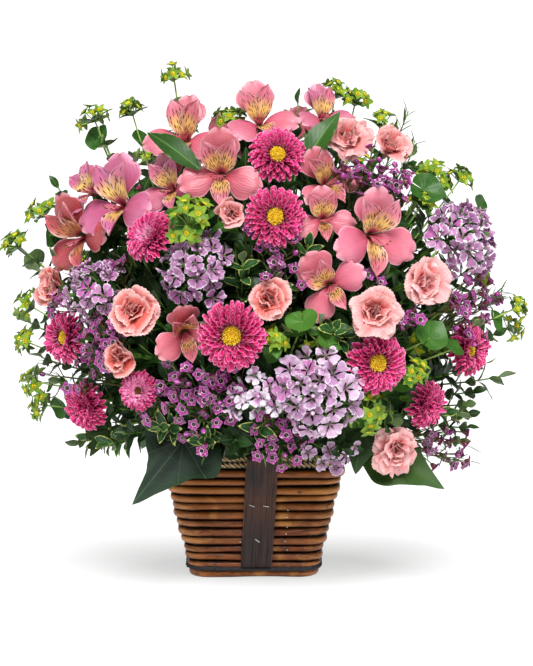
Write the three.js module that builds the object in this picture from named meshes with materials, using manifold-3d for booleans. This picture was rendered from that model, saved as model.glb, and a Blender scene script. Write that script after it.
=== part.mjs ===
// A flower basket arrangement: mixed blooms on stems that stand in a block of wet foam,
// in a tapered rod basket with a braided rim and a wooden slat on the front and the back.
// Millimetres, +Z up. The origin is the centre of the basket's underside, and the front faces -Y.
import * as THREE from 'three';
import Module from 'manifold-3d';

const wasm = await Module();
wasm.setup();

// ---------------------------------------------------------------- driving dimensions, mm
const GAP = 0.3;                 // between pieces that rest on or in each other

const BASE_HALF = 53;            // half width of the basket at the floor, outside
const WALL_LEAN = 0.232;         // outward step of the wall for each millimetre of height
const WALL_HEIGHT = 94;
const WALL_THICKNESS = 6.4;
const CORNER_RADIUS = 17;
const ROD_COURSES = 13;
const ROD_GROOVE = 2.8;          // depth of the groove between two rods
const RIM_HEIGHT = 12;
const RIM_WIDTH = 11;
const RIM_LOBES = 24;

const FLOOR_THICKNESS = 6;
const SLAT_WIDTH = 26;
const SLAT_THICKNESS = 3;
const SLAT_FOOT = 10;            // height of the slat's lower end
const SLAT_HEAD = 105;
const SLAT_SHIFT = 2;            // the front slat stands a little right of the middle
const SLAT_SKEW = 0.055;         // and leans to the right
const BATTEN_WIDTH = 46;
const BATTEN_THICKNESS = 2.2;
const LINER_WALL = 1.2;
const LINER_TOP = 90;
const FOAM_TOP = 114;
const FOAM_CHAMFER = 10;

// The blooms' heads lie on a dome: half an ellipsoid in front, and a flatter one behind.
const DOME_CENTRE = { x: 11, z: 215 };
const DOME_WIDTH = 185;
const DOME_DEPTH = 150;
const DOME_BACK_DEPTH = 104;
const DOME_HEIGHT = 175;

const STEM_RADIUS = 1.8;
const STEM_SIDES = 3;
const STALK_RADIUS = 1.6;
const TWIG_RADIUS = 1.2;
const NECK = 16;                 // straight length of stem under a bloom
const BUNDLE_RADIUS = 4.5;       // the stems of one sector stand in the foam as one bundle
const BUNDLE_FOOT = 40;
const BUNDLE_TOP = 118;
const BUNDLE_OFFSET = 27;
const SPRAY_OFFSET = 44;         // a waxflower spray stands by itself, further out
const SPRAY_FOOT = 60;
const SPRAY_PLAY = 2.4;          // its hole is this much wider all round
const UMBEL_RADIUS = 9.5;
const WAX_RADIUS = 5.8;
const WAX_FLOWERS = 7;
const FORK_SHARE = 0.42;         // how far along two groups of stems part

// ---------------------------------------------------------------- layout
// Each row: name, x and z as seen from the front, lift out of the dome, radius,
// then the way it faces: degrees right of straight ahead, degrees up, and its roll.
const ASTERS = [
  ['aster_top', 19, 350, 4, 23, 5, 30, 0],
  ['aster_upper', 17, 305, 6, 24, 4, 14, 10],
  ['aster_upper_left', -80, 288, 8, 22, -42, 30, 5],
  ['aster_centre', -16, 216, 14, 27, -6, 3, 0],
  ['aster_left', -150, 202, 0, 22, -48, 4, 9],
  ['aster_low_left', -134, 147, 2, 21, -38, -6, 3],
  ['aster_small', -90, 167, 6, 16, -16, 8, 12],
  ['aster_right_centre', 96, 192, 10, 25, 18, 2, 6],
  ['aster_low_right', 137, 152, 2, 20, 46, -8, 0],
  ['aster_right', 172, 192, 0, 22, 46, 4, 14],
  ['aster_back_top', -88, 298, 2, 23, 218, 22, 0, true],
  ['aster_back_right', 110, 222, 2, 24, 142, 6, 8, true],
  ['aster_back_left', -78, 172, 2, 23, 208, 0, 4, true],
];

const CARNATIONS = [
  ['carnation_top_right', 73, 361, 2, 19, 15, 38, 0],
  ['carnation_top_far', 108, 352, 2, 17, 34, 34, 20],
  ['carnation_bud', -17, 308, 16, 13, -4, 10, 0],
  ['carnation_far_left', -160, 241, 2, 17, -68, 8, 8],
  ['carnation_left', -92, 232, 16, 23, -20, 14, 0],
  ['carnation_low_left', -103, 194, 6, 16, -26, 4, 14],
  ['carnation_centre', 12, 243, 6, 19, 2, 18, 6],
  ['carnation_right_centre', 94, 233, 16, 21, 14, 14, 12],
  ['carnation_right', 133, 252, 8, 21, 30, 10, 3],
  ['carnation_low_right', 112, 118, 6, 20, 26, -12, 9],
  ['carnation_back_top', 88, 300, 2, 20, 146, 24, 0, true],
  ['carnation_back_left', -110, 240, 2, 20, 220, 8, 10, true],
  ['carnation_back_low', 58, 154, 6, 20, 158, -6, 5, true],
];

const DIANTHUS = [
  ['dianthus_right', 163, 281, 2, 31, 50, 22, 0],
  ['dianthus_left_centre', -43, 264, -6, 27, -14, 14, 30],
  ['dianthus_left', -122, 243, -6, 25, -38, 10, 12],
  ['dianthus_low', 50, 170, 6, 33, 10, -4, 45],
  ['dianthus_low_centre', -2, 166, -2, 18, -2, -4, 20],
  ['dianthus_back', 4, 250, 0, 33, 180, 8, 0, true],
];

// Alstroemerias grow as a few blooms on one stem: each list is one cluster.
const ALSTROEMERIAS = {
  alstroemeria_top_left: [
    [-56, 365, 0, 31, -14, 42, 0],
    [-67, 325, -6, 25, -28, 24, 20],
  ],
  alstroemeria_left: [
    [-109, 313, 9, 34.5, -31, 25, 8],
    [-134, 321, 40, 23, -58, 34, 50],
    [-143, 283, 6, 30, -60, 4, 25],
  ],
  alstroemeria_top: [
    [-26, 338, 7, 31, -6, 18, 0],
    [5, 378, 2, 29, 0, 44, 15],
  ],
  alstroemeria_top_right: [
    [57, 380, 6, 24, 24, 46, 0],
    [58, 331, -4, 26, 12, 32, 30],
    [55, 304, 2, 23, 4, 20, 5],
  ],
  alstroemeria_right: [
    [96, 291, 16, 34, 26, 8, 0],
  ],
  alstroemeria_centre: [
    [59, 253, 2, 27.5, -4, 6, 40],
  ],
  alstroemeria_low_left: [
    [-52, 215, 6, 26, 12, -8, 15],
  ],
  alstroemeria_back: [
    [-26, 348, 4, 26, 190, 34, 0, true],
    [34, 354, 4, 26, 170, 34, 20, true],
    [2, 306, 4, 27, 180, 16, 40, true],
  ],
};

// Waxflower sprays: name, x, z, lift, the spray's radius, turn, tip, roll.
const WAXFLOWERS = [
  ['waxflower_top_right', 98, 330, 2, 26, 26, 26, 0],
  ['waxflower_right', 176, 226, 6, 28, 52, 4, 30],
  ['waxflower_left', -128, 212, 4, 24, -40, 2, 60],
  ['waxflower_low_left', -42, 162, 6, 28, -10, -8, 15],
  ['waxflower_low', 24, 122, 8, 26, 4, -18, 40],
  ['waxflower_low_right', 158, 106, 30, 24, 44, -24, 10],
];

// Bupleurum umbels: x, z, lift, back.
const BUPLEURUM = [
  [-134, 381, 10], [-101, 384, 4], [-66, 414, 8], [-177, 300, 8], [-200, 275, 14], [-190, 222, 4],
  [-195, 193, 16], [-188, 158, 8], [-180, 139, 22], [-50, 309, 20], [-20, 382, 2], [67, 398, 6],
  [84, 393, 10], [106, 374, 4], [147, 336, 8], [174, 331, 12], [138, 316, 8], [189, 250, 2],
  [222, 221, 12], [220, 203, 4], [139, 208, 12], [131, 183, 14], [99, 155, 14], [18, 214, 12],
  [42, 226, 14], [-60, 370, 8, true], [-92, 340, 12, true], [-150, 250, 14, true],
  [88, 340, 8, true], [156, 240, 12, true], [64, 196, 14, true],
];

// Sprigs of small leaves with pale edges: x, z, lift, back.
const SPRIGS = [
  [73, 218, 4], [-158, 264, 8], [-118, 116, 14], [4, 140, 6], [190, 174, 10],
  [43, 284, -2], [168, 134, 8], [-76, 136, 6], [-8, 272, -4],
  [-120, 350, 8], [36, 388, 4], [148, 300, -8], [-64, 250, 2, true], [60, 270, 2, true],
  [10, 190, 4, true], [-130, 190, 6, true], [130, 160, 6, true], [20, 130, 8, true],
];

// Large leaves that hang over the rim: the stalk's end and the leaf's tip, x, y, z, then the size.
const LARGE_LEAVES = [
  { stalk: [-62, -100, 128], tip: [-100, -122, 66], size: 66 },
  { stalk: [104, -55, 114], tip: [152, -84, 72], size: 54 },
  { stalk: [-118, -56, 122], tip: [-146, -70, 92], size: 38 },
  { stalk: [74, -104, 134], tip: [84, -124, 104], size: 36 },
  { stalk: [-70, 98, 128], tip: [-100, 118, 78], size: 60 },
  { stalk: [74, 98, 130], tip: [104, 120, 80], size: 60 },
];

// Sectors of greenery, by the degrees right of straight ahead where each one starts and ends.
const SECTORS = [
  { name: 'greenery_left', from: -110, to: -55 },
  { name: 'greenery_front_left', from: -55, to: 0 },
  { name: 'greenery_front_right', from: 0, to: 55 },
  { name: 'greenery_right', from: 55, to: 110 },
  { name: 'greenery_back_right', from: 110, to: 180 },
  { name: 'greenery_back_left', from: 180, to: 250 },
];

// ---------------------------------------------------------------- materials
const finish = (color, roughness = 0.7) => new THREE.MeshStandardMaterial({ color, roughness, metalness: 0 });
const MATERIALS = {
  rod: finish(0x7a3b20, 0.4),
  rim: finish(0x8d6a48, 0.8),
  slat: finish(0x3a2620, 0.6),
  board: finish(0x6b3d24, 0.7),
  liner: finish(0x2f3a30, 0.5),
  foam: finish(0x2f5a3a, 0.9),
  aster: finish(0xc81f6a),
  carnation: finish(0xf2a59d),
  dianthus: finish(0xd9a3cf),
  alstroemeria: finish(0xe87f95),
  waxflower: finish(0xa83a80),
  greenery: finish(0x4c7a2e),
};

// ---------------------------------------------------------------- geometry helpers
const vec = (x, y, z) => new THREE.Vector3(x, y, z);
const radians = THREE.MathUtils.degToRad;

const GOLDEN_ANGLE = Math.PI * (3 - Math.sqrt(5));

// A seeded random source, so every build is alike.
function seeded(seed) {
  let state = seed;
  return () => {
    state = (state * 1664525 + 1013904223) % 4294967296;
    return state / 4294967296;
  };
}

function signedVolume(points, index) {
  let volume = 0;
  for (let i = 0; i < index.length; i += 3) {
    const [a, b, c] = [points[index[i]], points[index[i + 1]], points[index[i + 2]]];
    volume += a.dot(b.clone().cross(c)) / 6;
  }
  return volume;
}

function geometryOf(points, index) {
  const faces = signedVolume(points, index) < 0 ? index.slice().reverse() : index;
  const geometry = new THREE.BufferGeometry();
  geometry.setAttribute('position', new THREE.Float32BufferAttribute(points.flatMap((p) => p.toArray()), 3));
  geometry.setIndex(faces);
  return geometry;
}

// A closed skin over rings of points. An end closes on its apex, or flat where it has none.
function skin(rings, firstApex, lastApex) {
  const columns = rings[0].length;
  const points = rings.flat();
  const index = [];
  for (let row = 0; row < rings.length - 1; row += 1) {
    index.push(...strip(row * columns, (row + 1) * columns, columns));
  }
  const lastRow = (rings.length - 1) * columns;
  index.push(...cap(points, 0, columns, firstApex));
  index.push(...cap(points, lastRow, columns, lastApex).reverse());
  return geometryOf(points, index);
}

// A closed skin whose last ring meets its first, as on a ring or a shell.
function loopedSkin(rings) {
  const columns = rings[0].length;
  const rowStart = (row) => (row % rings.length) * columns;
  const index = rings.flatMap((_, row) => strip(rowStart(row), rowStart(row + 1), columns));
  return geometryOf(rings.flat(), index);
}

function strip(lower, upper, columns) {
  const index = [];
  for (let i = 0; i < columns; i += 1) {
    const next = (i + 1) % columns;
    index.push(lower + i, lower + next, upper + next, lower + i, upper + next, upper + i);
  }
  return index;
}

function cap(points, start, columns, apex) {
  const index = [];
  if (apex) {
    points.push(apex);
    for (let i = 0; i < columns; i += 1) {
      index.push(points.length - 1, start + ((i + 1) % columns), start + i);
    }
    return index;
  }
  for (let i = 1; i < columns - 1; i += 1) {
    index.push(start, start + i + 1, start + i);
  }
  return index;
}

function polarRing(count, radius, height) {
  return Array.from({ length: count }, (_, i) => {
    const angle = (2 * Math.PI * i) / count;
    return vec(radius(i) * Math.cos(angle), radius(i) * Math.sin(angle), height(i));
  });
}

// The frame of a bloom: x to its right, y up across its face, z out of it.
function facing(turn, tip) {
  const [t, p] = [radians(turn), radians(tip)];
  return vec(Math.sin(t) * Math.cos(p), -Math.cos(t) * Math.cos(p), Math.sin(p));
}

function frameAt(position, direction, roll = 0) {
  const upright = Math.abs(direction.z) > 0.95 ? vec(0, 1, 0) : vec(0, 0, 1);
  const right = upright.clone().cross(direction).normalize();
  const up = direction.clone().cross(right);
  const frame = new THREE.Matrix4().makeBasis(right, up, direction).setPosition(position);
  return frame.multiply(new THREE.Matrix4().makeRotationZ(radians(roll)));
}

function domePoint(x, z, lift, back = false) {
  const across = (x - DOME_CENTRE.x) / DOME_WIDTH;
  const upwards = (z - DOME_CENTRE.z) / DOME_HEIGHT;
  const bulge = Math.sqrt(Math.max(1 - across ** 2 - upwards ** 2, 0));
  return vec(x, back ? DOME_BACK_DEPTH * bulge + lift : -DOME_DEPTH * bulge - lift, z);
}

// A tube through points, with a radius at each one.
function tube(points, radii, sides = STEM_SIDES) {
  const rings = points.map((point, i) => {
    const before = points[Math.max(i - 1, 0)];
    const after = points[Math.min(i + 1, points.length - 1)];
    const frame = frameAt(point, after.clone().sub(before).normalize(), 30);
    return polarRing(sides, () => radii[i], () => 0).map((p) => p.applyMatrix4(frame));
  });
  return skin(rings);
}

// ---------------------------------------------------------------- branching stems
// One closed skin over a branching stem with three sides. Every end that is still open is a
// triangle of points, in the order that faces along the growth.
class PlantSkin {
  constructor() {
    this.points = [];
    this.index = [];
  }

  add(...points) {
    this.points.push(...points);
    return points.map((_, i) => this.points.length - points.length + i);
  }

  section(point, direction, radius) {
    const frame = frameAt(point, direction, 30);
    return this.add(...polarRing(3, () => radius, () => 0).map((p) => p.applyMatrix4(frame)));
  }

  middle(face) {
    return centroid(face.map((i) => this.points[i]));
  }

  // A sleeve from one open end to the next, turned so that it twists least.
  sleeve(from, to) {
    const twist = (turn) => from.reduce(
      (sum, corner, i) => sum + this.points[corner].distanceTo(this.points[to[(i + turn) % 3]]),
      0,
    );
    const best = [0, 1, 2].reduce((a, b) => (twist(b) < twist(a) ? b : a));
    const turned = [0, 1, 2].map((i) => to[(i + best) % 3]);
    from.forEach((corner, i) => {
      const next = (i + 1) % 3;
      this.index.push(corner, from[next], turned[next], corner, turned[next], turned[i]);
    });
    return turned;
  }

  // A head that widens from the open end to a ring of points, and closes above on an apex.
  head(face, ring, apex) {
    const centre = this.middle(face);
    const start = this.points[face[0]].clone().sub(centre).normalize();
    const match = (point) => point.clone().sub(centre).normalize().dot(start);
    const first = ring.reduce((best, point, i) => (match(point) > match(ring[best]) ? i : best), 0);
    const rim = this.add(...ring.map((_, i) => ring[(first + i) % ring.length]));
    const [top] = this.add(apex);
    let corner = 0;
    let step = 0;
    while (corner < 3 || step < rim.length) {
      const [a, r] = [face[corner % 3], rim[step % rim.length]];
      if (corner < 3 && (corner + 0.5) / 3 <= step / rim.length) {
        this.index.push(a, face[(corner + 1) % 3], r);
        corner += 1;
      } else {
        this.index.push(a, rim[(step + 1) % rim.length], r);
        step += 1;
      }
    }
    rim.forEach((r, i) => this.index.push(r, rim[(i + 1) % rim.length], top));
  }

  // Up to three branches leave on the sides of a small pyramid.
  fork(face, direction, node) {
    const [tip] = this.add(node.point.clone().addScaledVector(direction, 1.2 * node.radius));
    const sides = [0, 1, 2].map((i) => [face[i], face[(i + 1) % 3], tip]);
    const leaning = (side, kid) => {
      const [a, b, c] = side.map((i) => this.points[i]);
      const normal = b.clone().sub(a).cross(c.clone().sub(a)).normalize();
      return normal.dot(kid.point.clone().sub(node.point).normalize());
    };
    const orders = [[0, 1, 2], [0, 2, 1], [1, 0, 2], [1, 2, 0], [2, 0, 1], [2, 1, 0]];
    const fit = (order) => node.kids.reduce((sum, kid, i) => sum + leaning(sides[order[i]], kid), 0);
    const best = orders.reduce((a, b) => (fit(b) > fit(a) ? b : a));
    best.forEach((side, i) => {
      if (node.kids[i]) {
        this.grow(sides[side], node.point, node.kids[i]);
      } else {
        this.index.push(...sides[side]);
      }
    });
  }

  grow(face, from, node) {
    const kids = node.kids ?? [];
    const incoming = node.point.clone().sub(from).normalize();
    const onward = kids.length === 1 ? kids[0].point.clone().sub(node.point).normalize() : incoming;
    const section = this.section(node.point, incoming.clone().add(onward).normalize(), node.radius);
    const open = this.sleeve(face, section);
    if (node.head) {
      this.head(open, node.head.ring, node.head.apex);
    } else if (kids.length === 0) {
      this.index.push(...open);
    } else if (kids.length === 1) {
      this.grow(open, node.point, kids[0]);
    } else {
      this.fork(open, incoming, node);
    }
  }
}

function plantGeometry(root) {
  const plant = new PlantSkin();
  const outward = root.kids[0].point.clone().sub(root.point).normalize();
  const start = plant.section(root.point, outward, root.radius);
  plant.index.push(start[0], start[2], start[1]);
  plant.grow(start, root.point, root.kids[0]);
  return geometryOf(plant.points, plant.index);
}

function centroid(points) {
  return points.reduce((sum, point) => sum.add(point), vec(0, 0, 0)).divideScalar(points.length);
}

// Two halves of a list of nodes, parted along the way that it spreads most.
function halved(nodes) {
  const spread = (axis) => {
    const values = nodes.map(({ point }) => point[axis]);
    return Math.max(...values) - Math.min(...values);
  };
  const widest = ['x', 'y', 'z'].reduce((best, axis) => (spread(axis) > spread(best) ? axis : best));
  const sorted = [...nodes].sort((a, b) => a.point[widest] - b.point[widest]);
  const middle = Math.ceil(sorted.length / 2);
  return [sorted.slice(0, middle), sorted.slice(middle)];
}

// Stems part from one another on their way out, two groups at a time.
function forked(root, radius, nodes, share) {
  return halved(nodes).map((half) => {
    if (half.length === 1) {
      return half[0];
    }
    const point = root.clone().lerp(centroid(half.map((node) => node.point)), share);
    return { point, radius, kids: forked(point, radius * 0.9, half, share) };
  });
}

// ---------------------------------------------------------------- joining and cutting
function solidOf(geometry) {
  const mesh = new wasm.Mesh({
    numProp: 3,
    vertProperties: new Float32Array(geometry.attributes.position.array),
    triVerts: new Uint32Array(geometry.index.array),
  });
  return new wasm.Manifold(mesh);
}

function joined(solids) {
  return solids.reduce((all, one) => all.add(one));
}

function geometryFrom(solid) {
  const { vertProperties, triVerts } = solid.getMesh();
  const geometry = new THREE.BufferGeometry();
  geometry.setAttribute('position', new THREE.Float32BufferAttribute(vertProperties, 3));
  geometry.setIndex(Array.from(triVerts));
  return geometry;
}

function crosses(solid, others) {
  return others.some((other) => solid.minGap(other, 1) < GAP);
}

const object = new THREE.Group();
const placed = [];               // the solids of the blooms and sprays made so far

function addMesh(name, geometry, material) {
  const mesh = new THREE.Mesh(geometry, material);
  mesh.name = name;
  object.add(mesh);
  return mesh;
}

// ---------------------------------------------------------------- the basket
const wallHalf = (z) => BASE_HALF + WALL_LEAN * z;

// A square outline with round corners, at one height.
function squareRing(half, radius, z, perCorner = 3) {
  const points = [];
  for (let corner = 0; corner < 4; corner += 1) {
    for (let i = 0; i < perCorner; i += 1) {
      const angle = (Math.PI / 2) * (corner + i / (perCorner - 1));
      const [sx, sy] = [[1, 1], [-1, 1], [-1, -1], [1, -1]][corner];
      const reach = half - radius;
      points.push(vec(sx * reach + radius * Math.cos(angle), sy * reach + radius * Math.sin(angle), z));
    }
  }
  return points;
}

function offsetRing(z, inset, perCorner = 3) {
  return squareRing(wallHalf(z) - inset, Math.max(CORNER_RADIUS - inset, 4), z, perCorner);
}

// The wall: rods laid in courses, each one a ridge that runs round the basket.
function rodWall() {
  const pitch = WALL_HEIGHT / ROD_COURSES;
  const rings = [offsetRing(0, ROD_GROOVE)];
  for (let course = 0; course < ROD_COURSES; course += 1) {
    rings.push(offsetRing((course + 0.24) * pitch, 0));
    rings.push(offsetRing((course + 0.76) * pitch, 0));
    rings.push(offsetRing((course + 1) * pitch, ROD_GROOVE));
  }
  rings.push(offsetRing(WALL_HEIGHT, WALL_THICKNESS));
  rings.push(offsetRing(0, WALL_THICKNESS));
  return loopedSkin(rings);
}

// The rim: a braid laid on the top rod, with a lobe for each crossing.
function rimBraid() {
  const low = WALL_HEIGHT + GAP;
  const middle = low + RIM_HEIGHT / 2;
  const half = wallHalf(middle) - RIM_WIDTH / 2;
  const outline = squareRing(half, CORNER_RADIUS - RIM_WIDTH / 2, middle, 2);
  const route = new THREE.CurvePath();
  outline.forEach((point, i) => route.add(new THREE.LineCurve3(point, outline[(i + 1) % outline.length])));
  const count = RIM_LOBES * 2;
  const rings = [];
  for (let i = 0; i < count; i += 1) {
    const centre = route.getPointAt(i / count);
    const outward = centre.clone().setZ(0).normalize();
    const swell = i % 2 ? 1 : 0.78;
    const shift = i % 4 < 2 ? 0.6 : -0.6;
    rings.push([
      centre.clone().addScaledVector(outward, (RIM_WIDTH / 2) * swell - 1),
      centre.clone().add(vec(0, 0, (RIM_HEIGHT / 2) * swell)).addScaledVector(outward, shift),
      centre.clone().addScaledVector(outward, (-RIM_WIDTH / 2) * swell + 1),
      centre.clone().add(vec(0, 0, -RIM_HEIGHT / 2)).addScaledVector(outward, shift),
    ]);
  }
  return loopedSkin(rings);
}

// A board that lies along the sloping wall, with its long edges taken off.
function wallBoard({ width, thickness, inset, foot, head, shift = 0, skew = 0, side = -1 }) {
  const bevel = 0.8;
  const [narrow, wide] = [width / 2 - bevel, width / 2];
  const across = [-narrow, -wide, -wide, -narrow, narrow, wide, wide, narrow];
  const depth = [0, bevel, thickness - bevel, thickness, thickness, thickness - bevel, bevel, 0];
  const section = (z) => {
    const inner = wallHalf(z) - inset - thickness;
    const middle = shift + skew * (z - foot);
    return across.map((x, i) => vec(middle + x, side * (inner + depth[i]), z));
  };
  return skin([section(foot), section(head)]);
}

function liner() {
  const outside = WALL_THICKNESS + GAP + BATTEN_THICKNESS + GAP;
  const floor = FLOOR_THICKNESS + GAP;
  const inside = outside + LINER_WALL;
  return skin(
    [offsetRing(floor, outside), offsetRing(LINER_TOP, outside), offsetRing(LINER_TOP, inside),
      offsetRing(floor + LINER_WALL, inside)],
  );
}

function foamBlock() {
  const inset = WALL_THICKNESS + GAP + BATTEN_THICKNESS + GAP + LINER_WALL + 2 * GAP;
  const foot = FLOOR_THICKNESS + GAP + LINER_WALL + GAP;
  const shoulder = FOAM_TOP - FOAM_CHAMFER;
  const halfAtLiner = wallHalf(LINER_TOP) - inset;
  return solidOf(skin([
    offsetRing(foot, inset, 2),
    offsetRing(LINER_TOP, inset, 2),
    squareRing(halfAtLiner - 4, 8, shoulder, 2),
    squareRing(halfAtLiner - FOAM_CHAMFER, 8, FOAM_TOP, 2),
  ]));
}

function addBasket() {
  addMesh('floor_board', skin([
    offsetRing(0, WALL_THICKNESS + GAP),
    squareRing(BASE_HALF - WALL_THICKNESS - GAP, CORNER_RADIUS - WALL_THICKNESS, FLOOR_THICKNESS),
  ]), MATERIALS.board);
  addMesh('rod_wall', rodWall(), MATERIALS.rod);
  addMesh('rim_braid', rimBraid(), MATERIALS.rim);
  const slat = { width: SLAT_WIDTH, thickness: SLAT_THICKNESS, inset: -SLAT_THICKNESS - GAP };
  const span = { foot: SLAT_FOOT, head: SLAT_HEAD };
  addMesh('front_slat', wallBoard({ ...slat, ...span, shift: SLAT_SHIFT, skew: SLAT_SKEW }), MATERIALS.slat);
  addMesh('back_slat', wallBoard({ ...slat, ...span, side: 1 }), MATERIALS.slat);
  addMesh('inner_batten', wallBoard({
    width: BATTEN_WIDTH,
    thickness: BATTEN_THICKNESS,
    inset: WALL_THICKNESS + GAP,
    foot: FLOOR_THICKNESS + GAP,
    head: LINER_TOP,
    shift: SLAT_SHIFT,
  }), MATERIALS.board);
  addMesh('liner', liner(), MATERIALS.liner);
}

// ---------------------------------------------------------------- blooms
const THROAT = -0.4;

// A bloom's own shape opens along +Z and ends below on the point that its stem carries.
const FOOT = { aster: -0.42, carnation: -0.8, dianthus: -0.62, alstroemeria: -0.62 };

// Rays in three tiers round a domed disc. Each tier is a star that narrows inwards.
function asterGeometry(radius) {
  const rays = 10;
  const count = rays * 2;
  const flat = (reach, height) => polarRing(count, () => reach * radius, () => height * radius);
  const star = (tip, root, height, rise, phase) => polarRing(
    count,
    (i) => ((i + phase) % 2 ? root : tip) * radius,
    (i) => ((i + phase) % 2 ? height : height + rise) * radius,
  );
  return skin([
    star(1, 0.66, 0.02, 0.06, 0),
    flat(0.56, 0.16),
    star(0.8, 0.56, 0.2, 0.12, 1),
    flat(0.4, 0.3),
    star(0.56, 0.4, 0.34, 0.12, 0),
    flat(0.25, 0.34),
  ], vec(0, 0, FOOT.aster * radius), vec(0, 0, 0.44 * radius));
}

// Ruffled petals in three tiers, each edge waved up and down.
function carnationGeometry(radius) {
  const count = 16;
  const edge = (reach, height, wave, phase) => polarRing(
    count,
    (i) => (reach + (i % 2 ? 0.05 : -0.05)) * radius,
    (i) => (height + ((i + phase) % 2 ? wave : -wave)) * radius,
  );
  const fold = (reach, height) => polarRing(count, () => reach * radius, () => height * radius);
  return skin([
    edge(0.95, 0.02, 0.1, 0),
    fold(0.6, 0.26),
    edge(0.74, 0.42, 0.1, 1),
    fold(0.32, 0.5),
    edge(0.4, 0.68, 0.08, 0),
  ], vec(0, 0, FOOT.carnation * radius), vec(0, 0, 0.52 * radius));
}

// The outline of six tepals: three broad ones, and three narrow ones that stand further out.
function alstroemeriaHead({ frame, radius }) {
  const broad = { half: 24, side: 0.76, shoulder: 9, tip: 1, rise: 0 };
  const narrow = { half: 15, side: 0.62, shoulder: 5, tip: 0.93, rise: 0.16 };
  const ring = [];
  for (let i = 0; i < 6; i += 1) {
    const { half, side, shoulder, tip, rise } = i % 2 ? narrow : broad;
    const outline = [[-half, side], [-shoulder, tip], [shoulder, tip], [half, side], [30, 0.36]];
    outline.forEach(([turn, reach]) => {
      const angle = radians(90 + i * 60 + turn);
      const height = turn === 30 ? -0.14 : rise + 0.02;
      ring.push(vec(reach * Math.cos(angle), reach * Math.sin(angle), height));
    });
  }
  const place = (point) => point.multiplyScalar(radius).applyMatrix4(frame);
  return { ring: ring.map(place), apex: place(vec(0, 0, THROAT)) };
}

// A flat flower of five petals, opening along a direction.
function floretHead(centre, direction, radius, roll) {
  const frame = frameAt(centre, direction, roll);
  const ring = polarRing(10, (i) => (i % 2 ? 0.52 : 1) * radius, (i) => (i % 2 ? -0.12 : 0.06) * radius);
  return { ring: ring.map((p) => p.applyMatrix4(frame)), apex: vec(0, 0, -0.1 * radius).applyMatrix4(frame) };
}

// A floret on a short stalk that starts at a root.
function stalkedFloret(root, centre, radius, roll) {
  const direction = centre.clone().sub(root).normalize();
  const neck = centre.clone().addScaledVector(direction, -0.45 * radius);
  const head = floretHead(centre, direction, radius, roll);
  return plantGeometry({ point: root, radius: 1.4, kids: [{ point: neck, radius: 1.4, head }] });
}

// A domed head of florets over a smaller core.
function dianthusSolid(radius, random) {
  const count = radius > 22 ? 9 : 6;
  const core = 0.62 * radius;
  const level = (reach, height) => polarRing(6, () => reach * core, () => height * core);
  const rings = [level(1, -0.1), level(0.9, 0.55)];
  const parts = [solidOf(skin(rings, vec(0, 0, FOOT.dianthus * radius), vec(0, 0, core)))];
  const floret = (1.5 * radius) / Math.sqrt(count);
  for (let i = 0; i < count; i += 1) {
    const lean = Math.acos(1 - (1.04 * (i + 0.35)) / count);
    const around = i * GOLDEN_ANGLE;
    const out = vec(Math.sin(lean) * Math.cos(around), Math.sin(lean) * Math.sin(around), Math.cos(lean));
    const root = out.clone().multiplyScalar(0.4 * core);
    const centre = out.clone().multiplyScalar(0.9 * radius);
    parts.push(solidOf(stalkedFloret(root, centre, floret, random() * 72)));
  }
  return joined(parts);
}

function bloomFrame([x, z, lift, radius, turn, tip, roll, back]) {
  const direction = facing(turn, tip);
  const position = domePoint(x, z, lift, back);
  return { position, direction, radius, frame: frameAt(position, direction, roll) };
}

const stems = [];                // what the greenery must carry: each a route from the foam to a bloom

function carryBloom({ position, direction, radius }, foot, cup) {
  const base = position.clone().addScaledVector(direction, foot * radius - GAP);
  const neck = base.clone().addScaledVector(direction, -NECK);
  stems.push({ neck, base, cup });
}

function addBloom(name, place, geometry, material) {
  geometry.applyMatrix4(place.frame);
  placed.push(solidOf(geometry));
  addMesh(name, geometry, material);
}

function addAsters() {
  ASTERS.forEach(([name, ...row]) => {
    const place = bloomFrame(row);
    addBloom(name, place, asterGeometry(place.radius), MATERIALS.aster);
    carryBloom(place, FOOT.aster, 4);
  });
}

function addCarnations() {
  CARNATIONS.forEach(([name, ...row]) => {
    const place = bloomFrame(row);
    addBloom(name, place, carnationGeometry(place.radius), MATERIALS.carnation);
    carryBloom(place, FOOT.carnation, 4.5);
  });
}

function addDianthus() {
  DIANTHUS.forEach(([name, ...row], i) => {
    const place = bloomFrame(row);
    const geometry = geometryFrom(dianthusSolid(place.radius, seeded(11 + i)));
    addBloom(name, place, geometry, MATERIALS.dianthus);
    carryBloom(place, FOOT.dianthus, 3);
  });
}

// The blooms of a cluster hang on stalks that meet under them.
function addAlstroemerias() {
  Object.entries(ALSTROEMERIAS).forEach(([name, rows]) => {
    const blooms = rows.map((row) => {
      const place = bloomFrame(row);
      const foot = place.position.clone().addScaledVector(place.direction, FOOT.alstroemeria * place.radius);
      return { point: foot, radius: STALK_RADIUS * 1.3, head: alstroemeriaHead(place) };
    });
    const middle = centroid(blooms.map(({ point }) => point));
    const inward = bundleTop(middle).sub(middle).normalize();
    const fork = middle.clone().addScaledVector(inward, rows.length > 1 ? 30 : 10);
    const foot = fork.clone().addScaledVector(inward, 6);
    const kids = rows.length > 1 ? [{ point: fork, radius: STALK_RADIUS, kids: blooms }] : blooms;
    const geometry = plantGeometry({ point: foot, radius: STALK_RADIUS, kids });
    placed.push(solidOf(geometry));
    addMesh(name, geometry, MATERIALS.alstroemeria);
    const base = foot.clone().addScaledVector(inward, GAP);
    stems.push({ neck: base.clone().addScaledVector(inward, 10), base, cup: 2.6 });
  });
}

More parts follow.
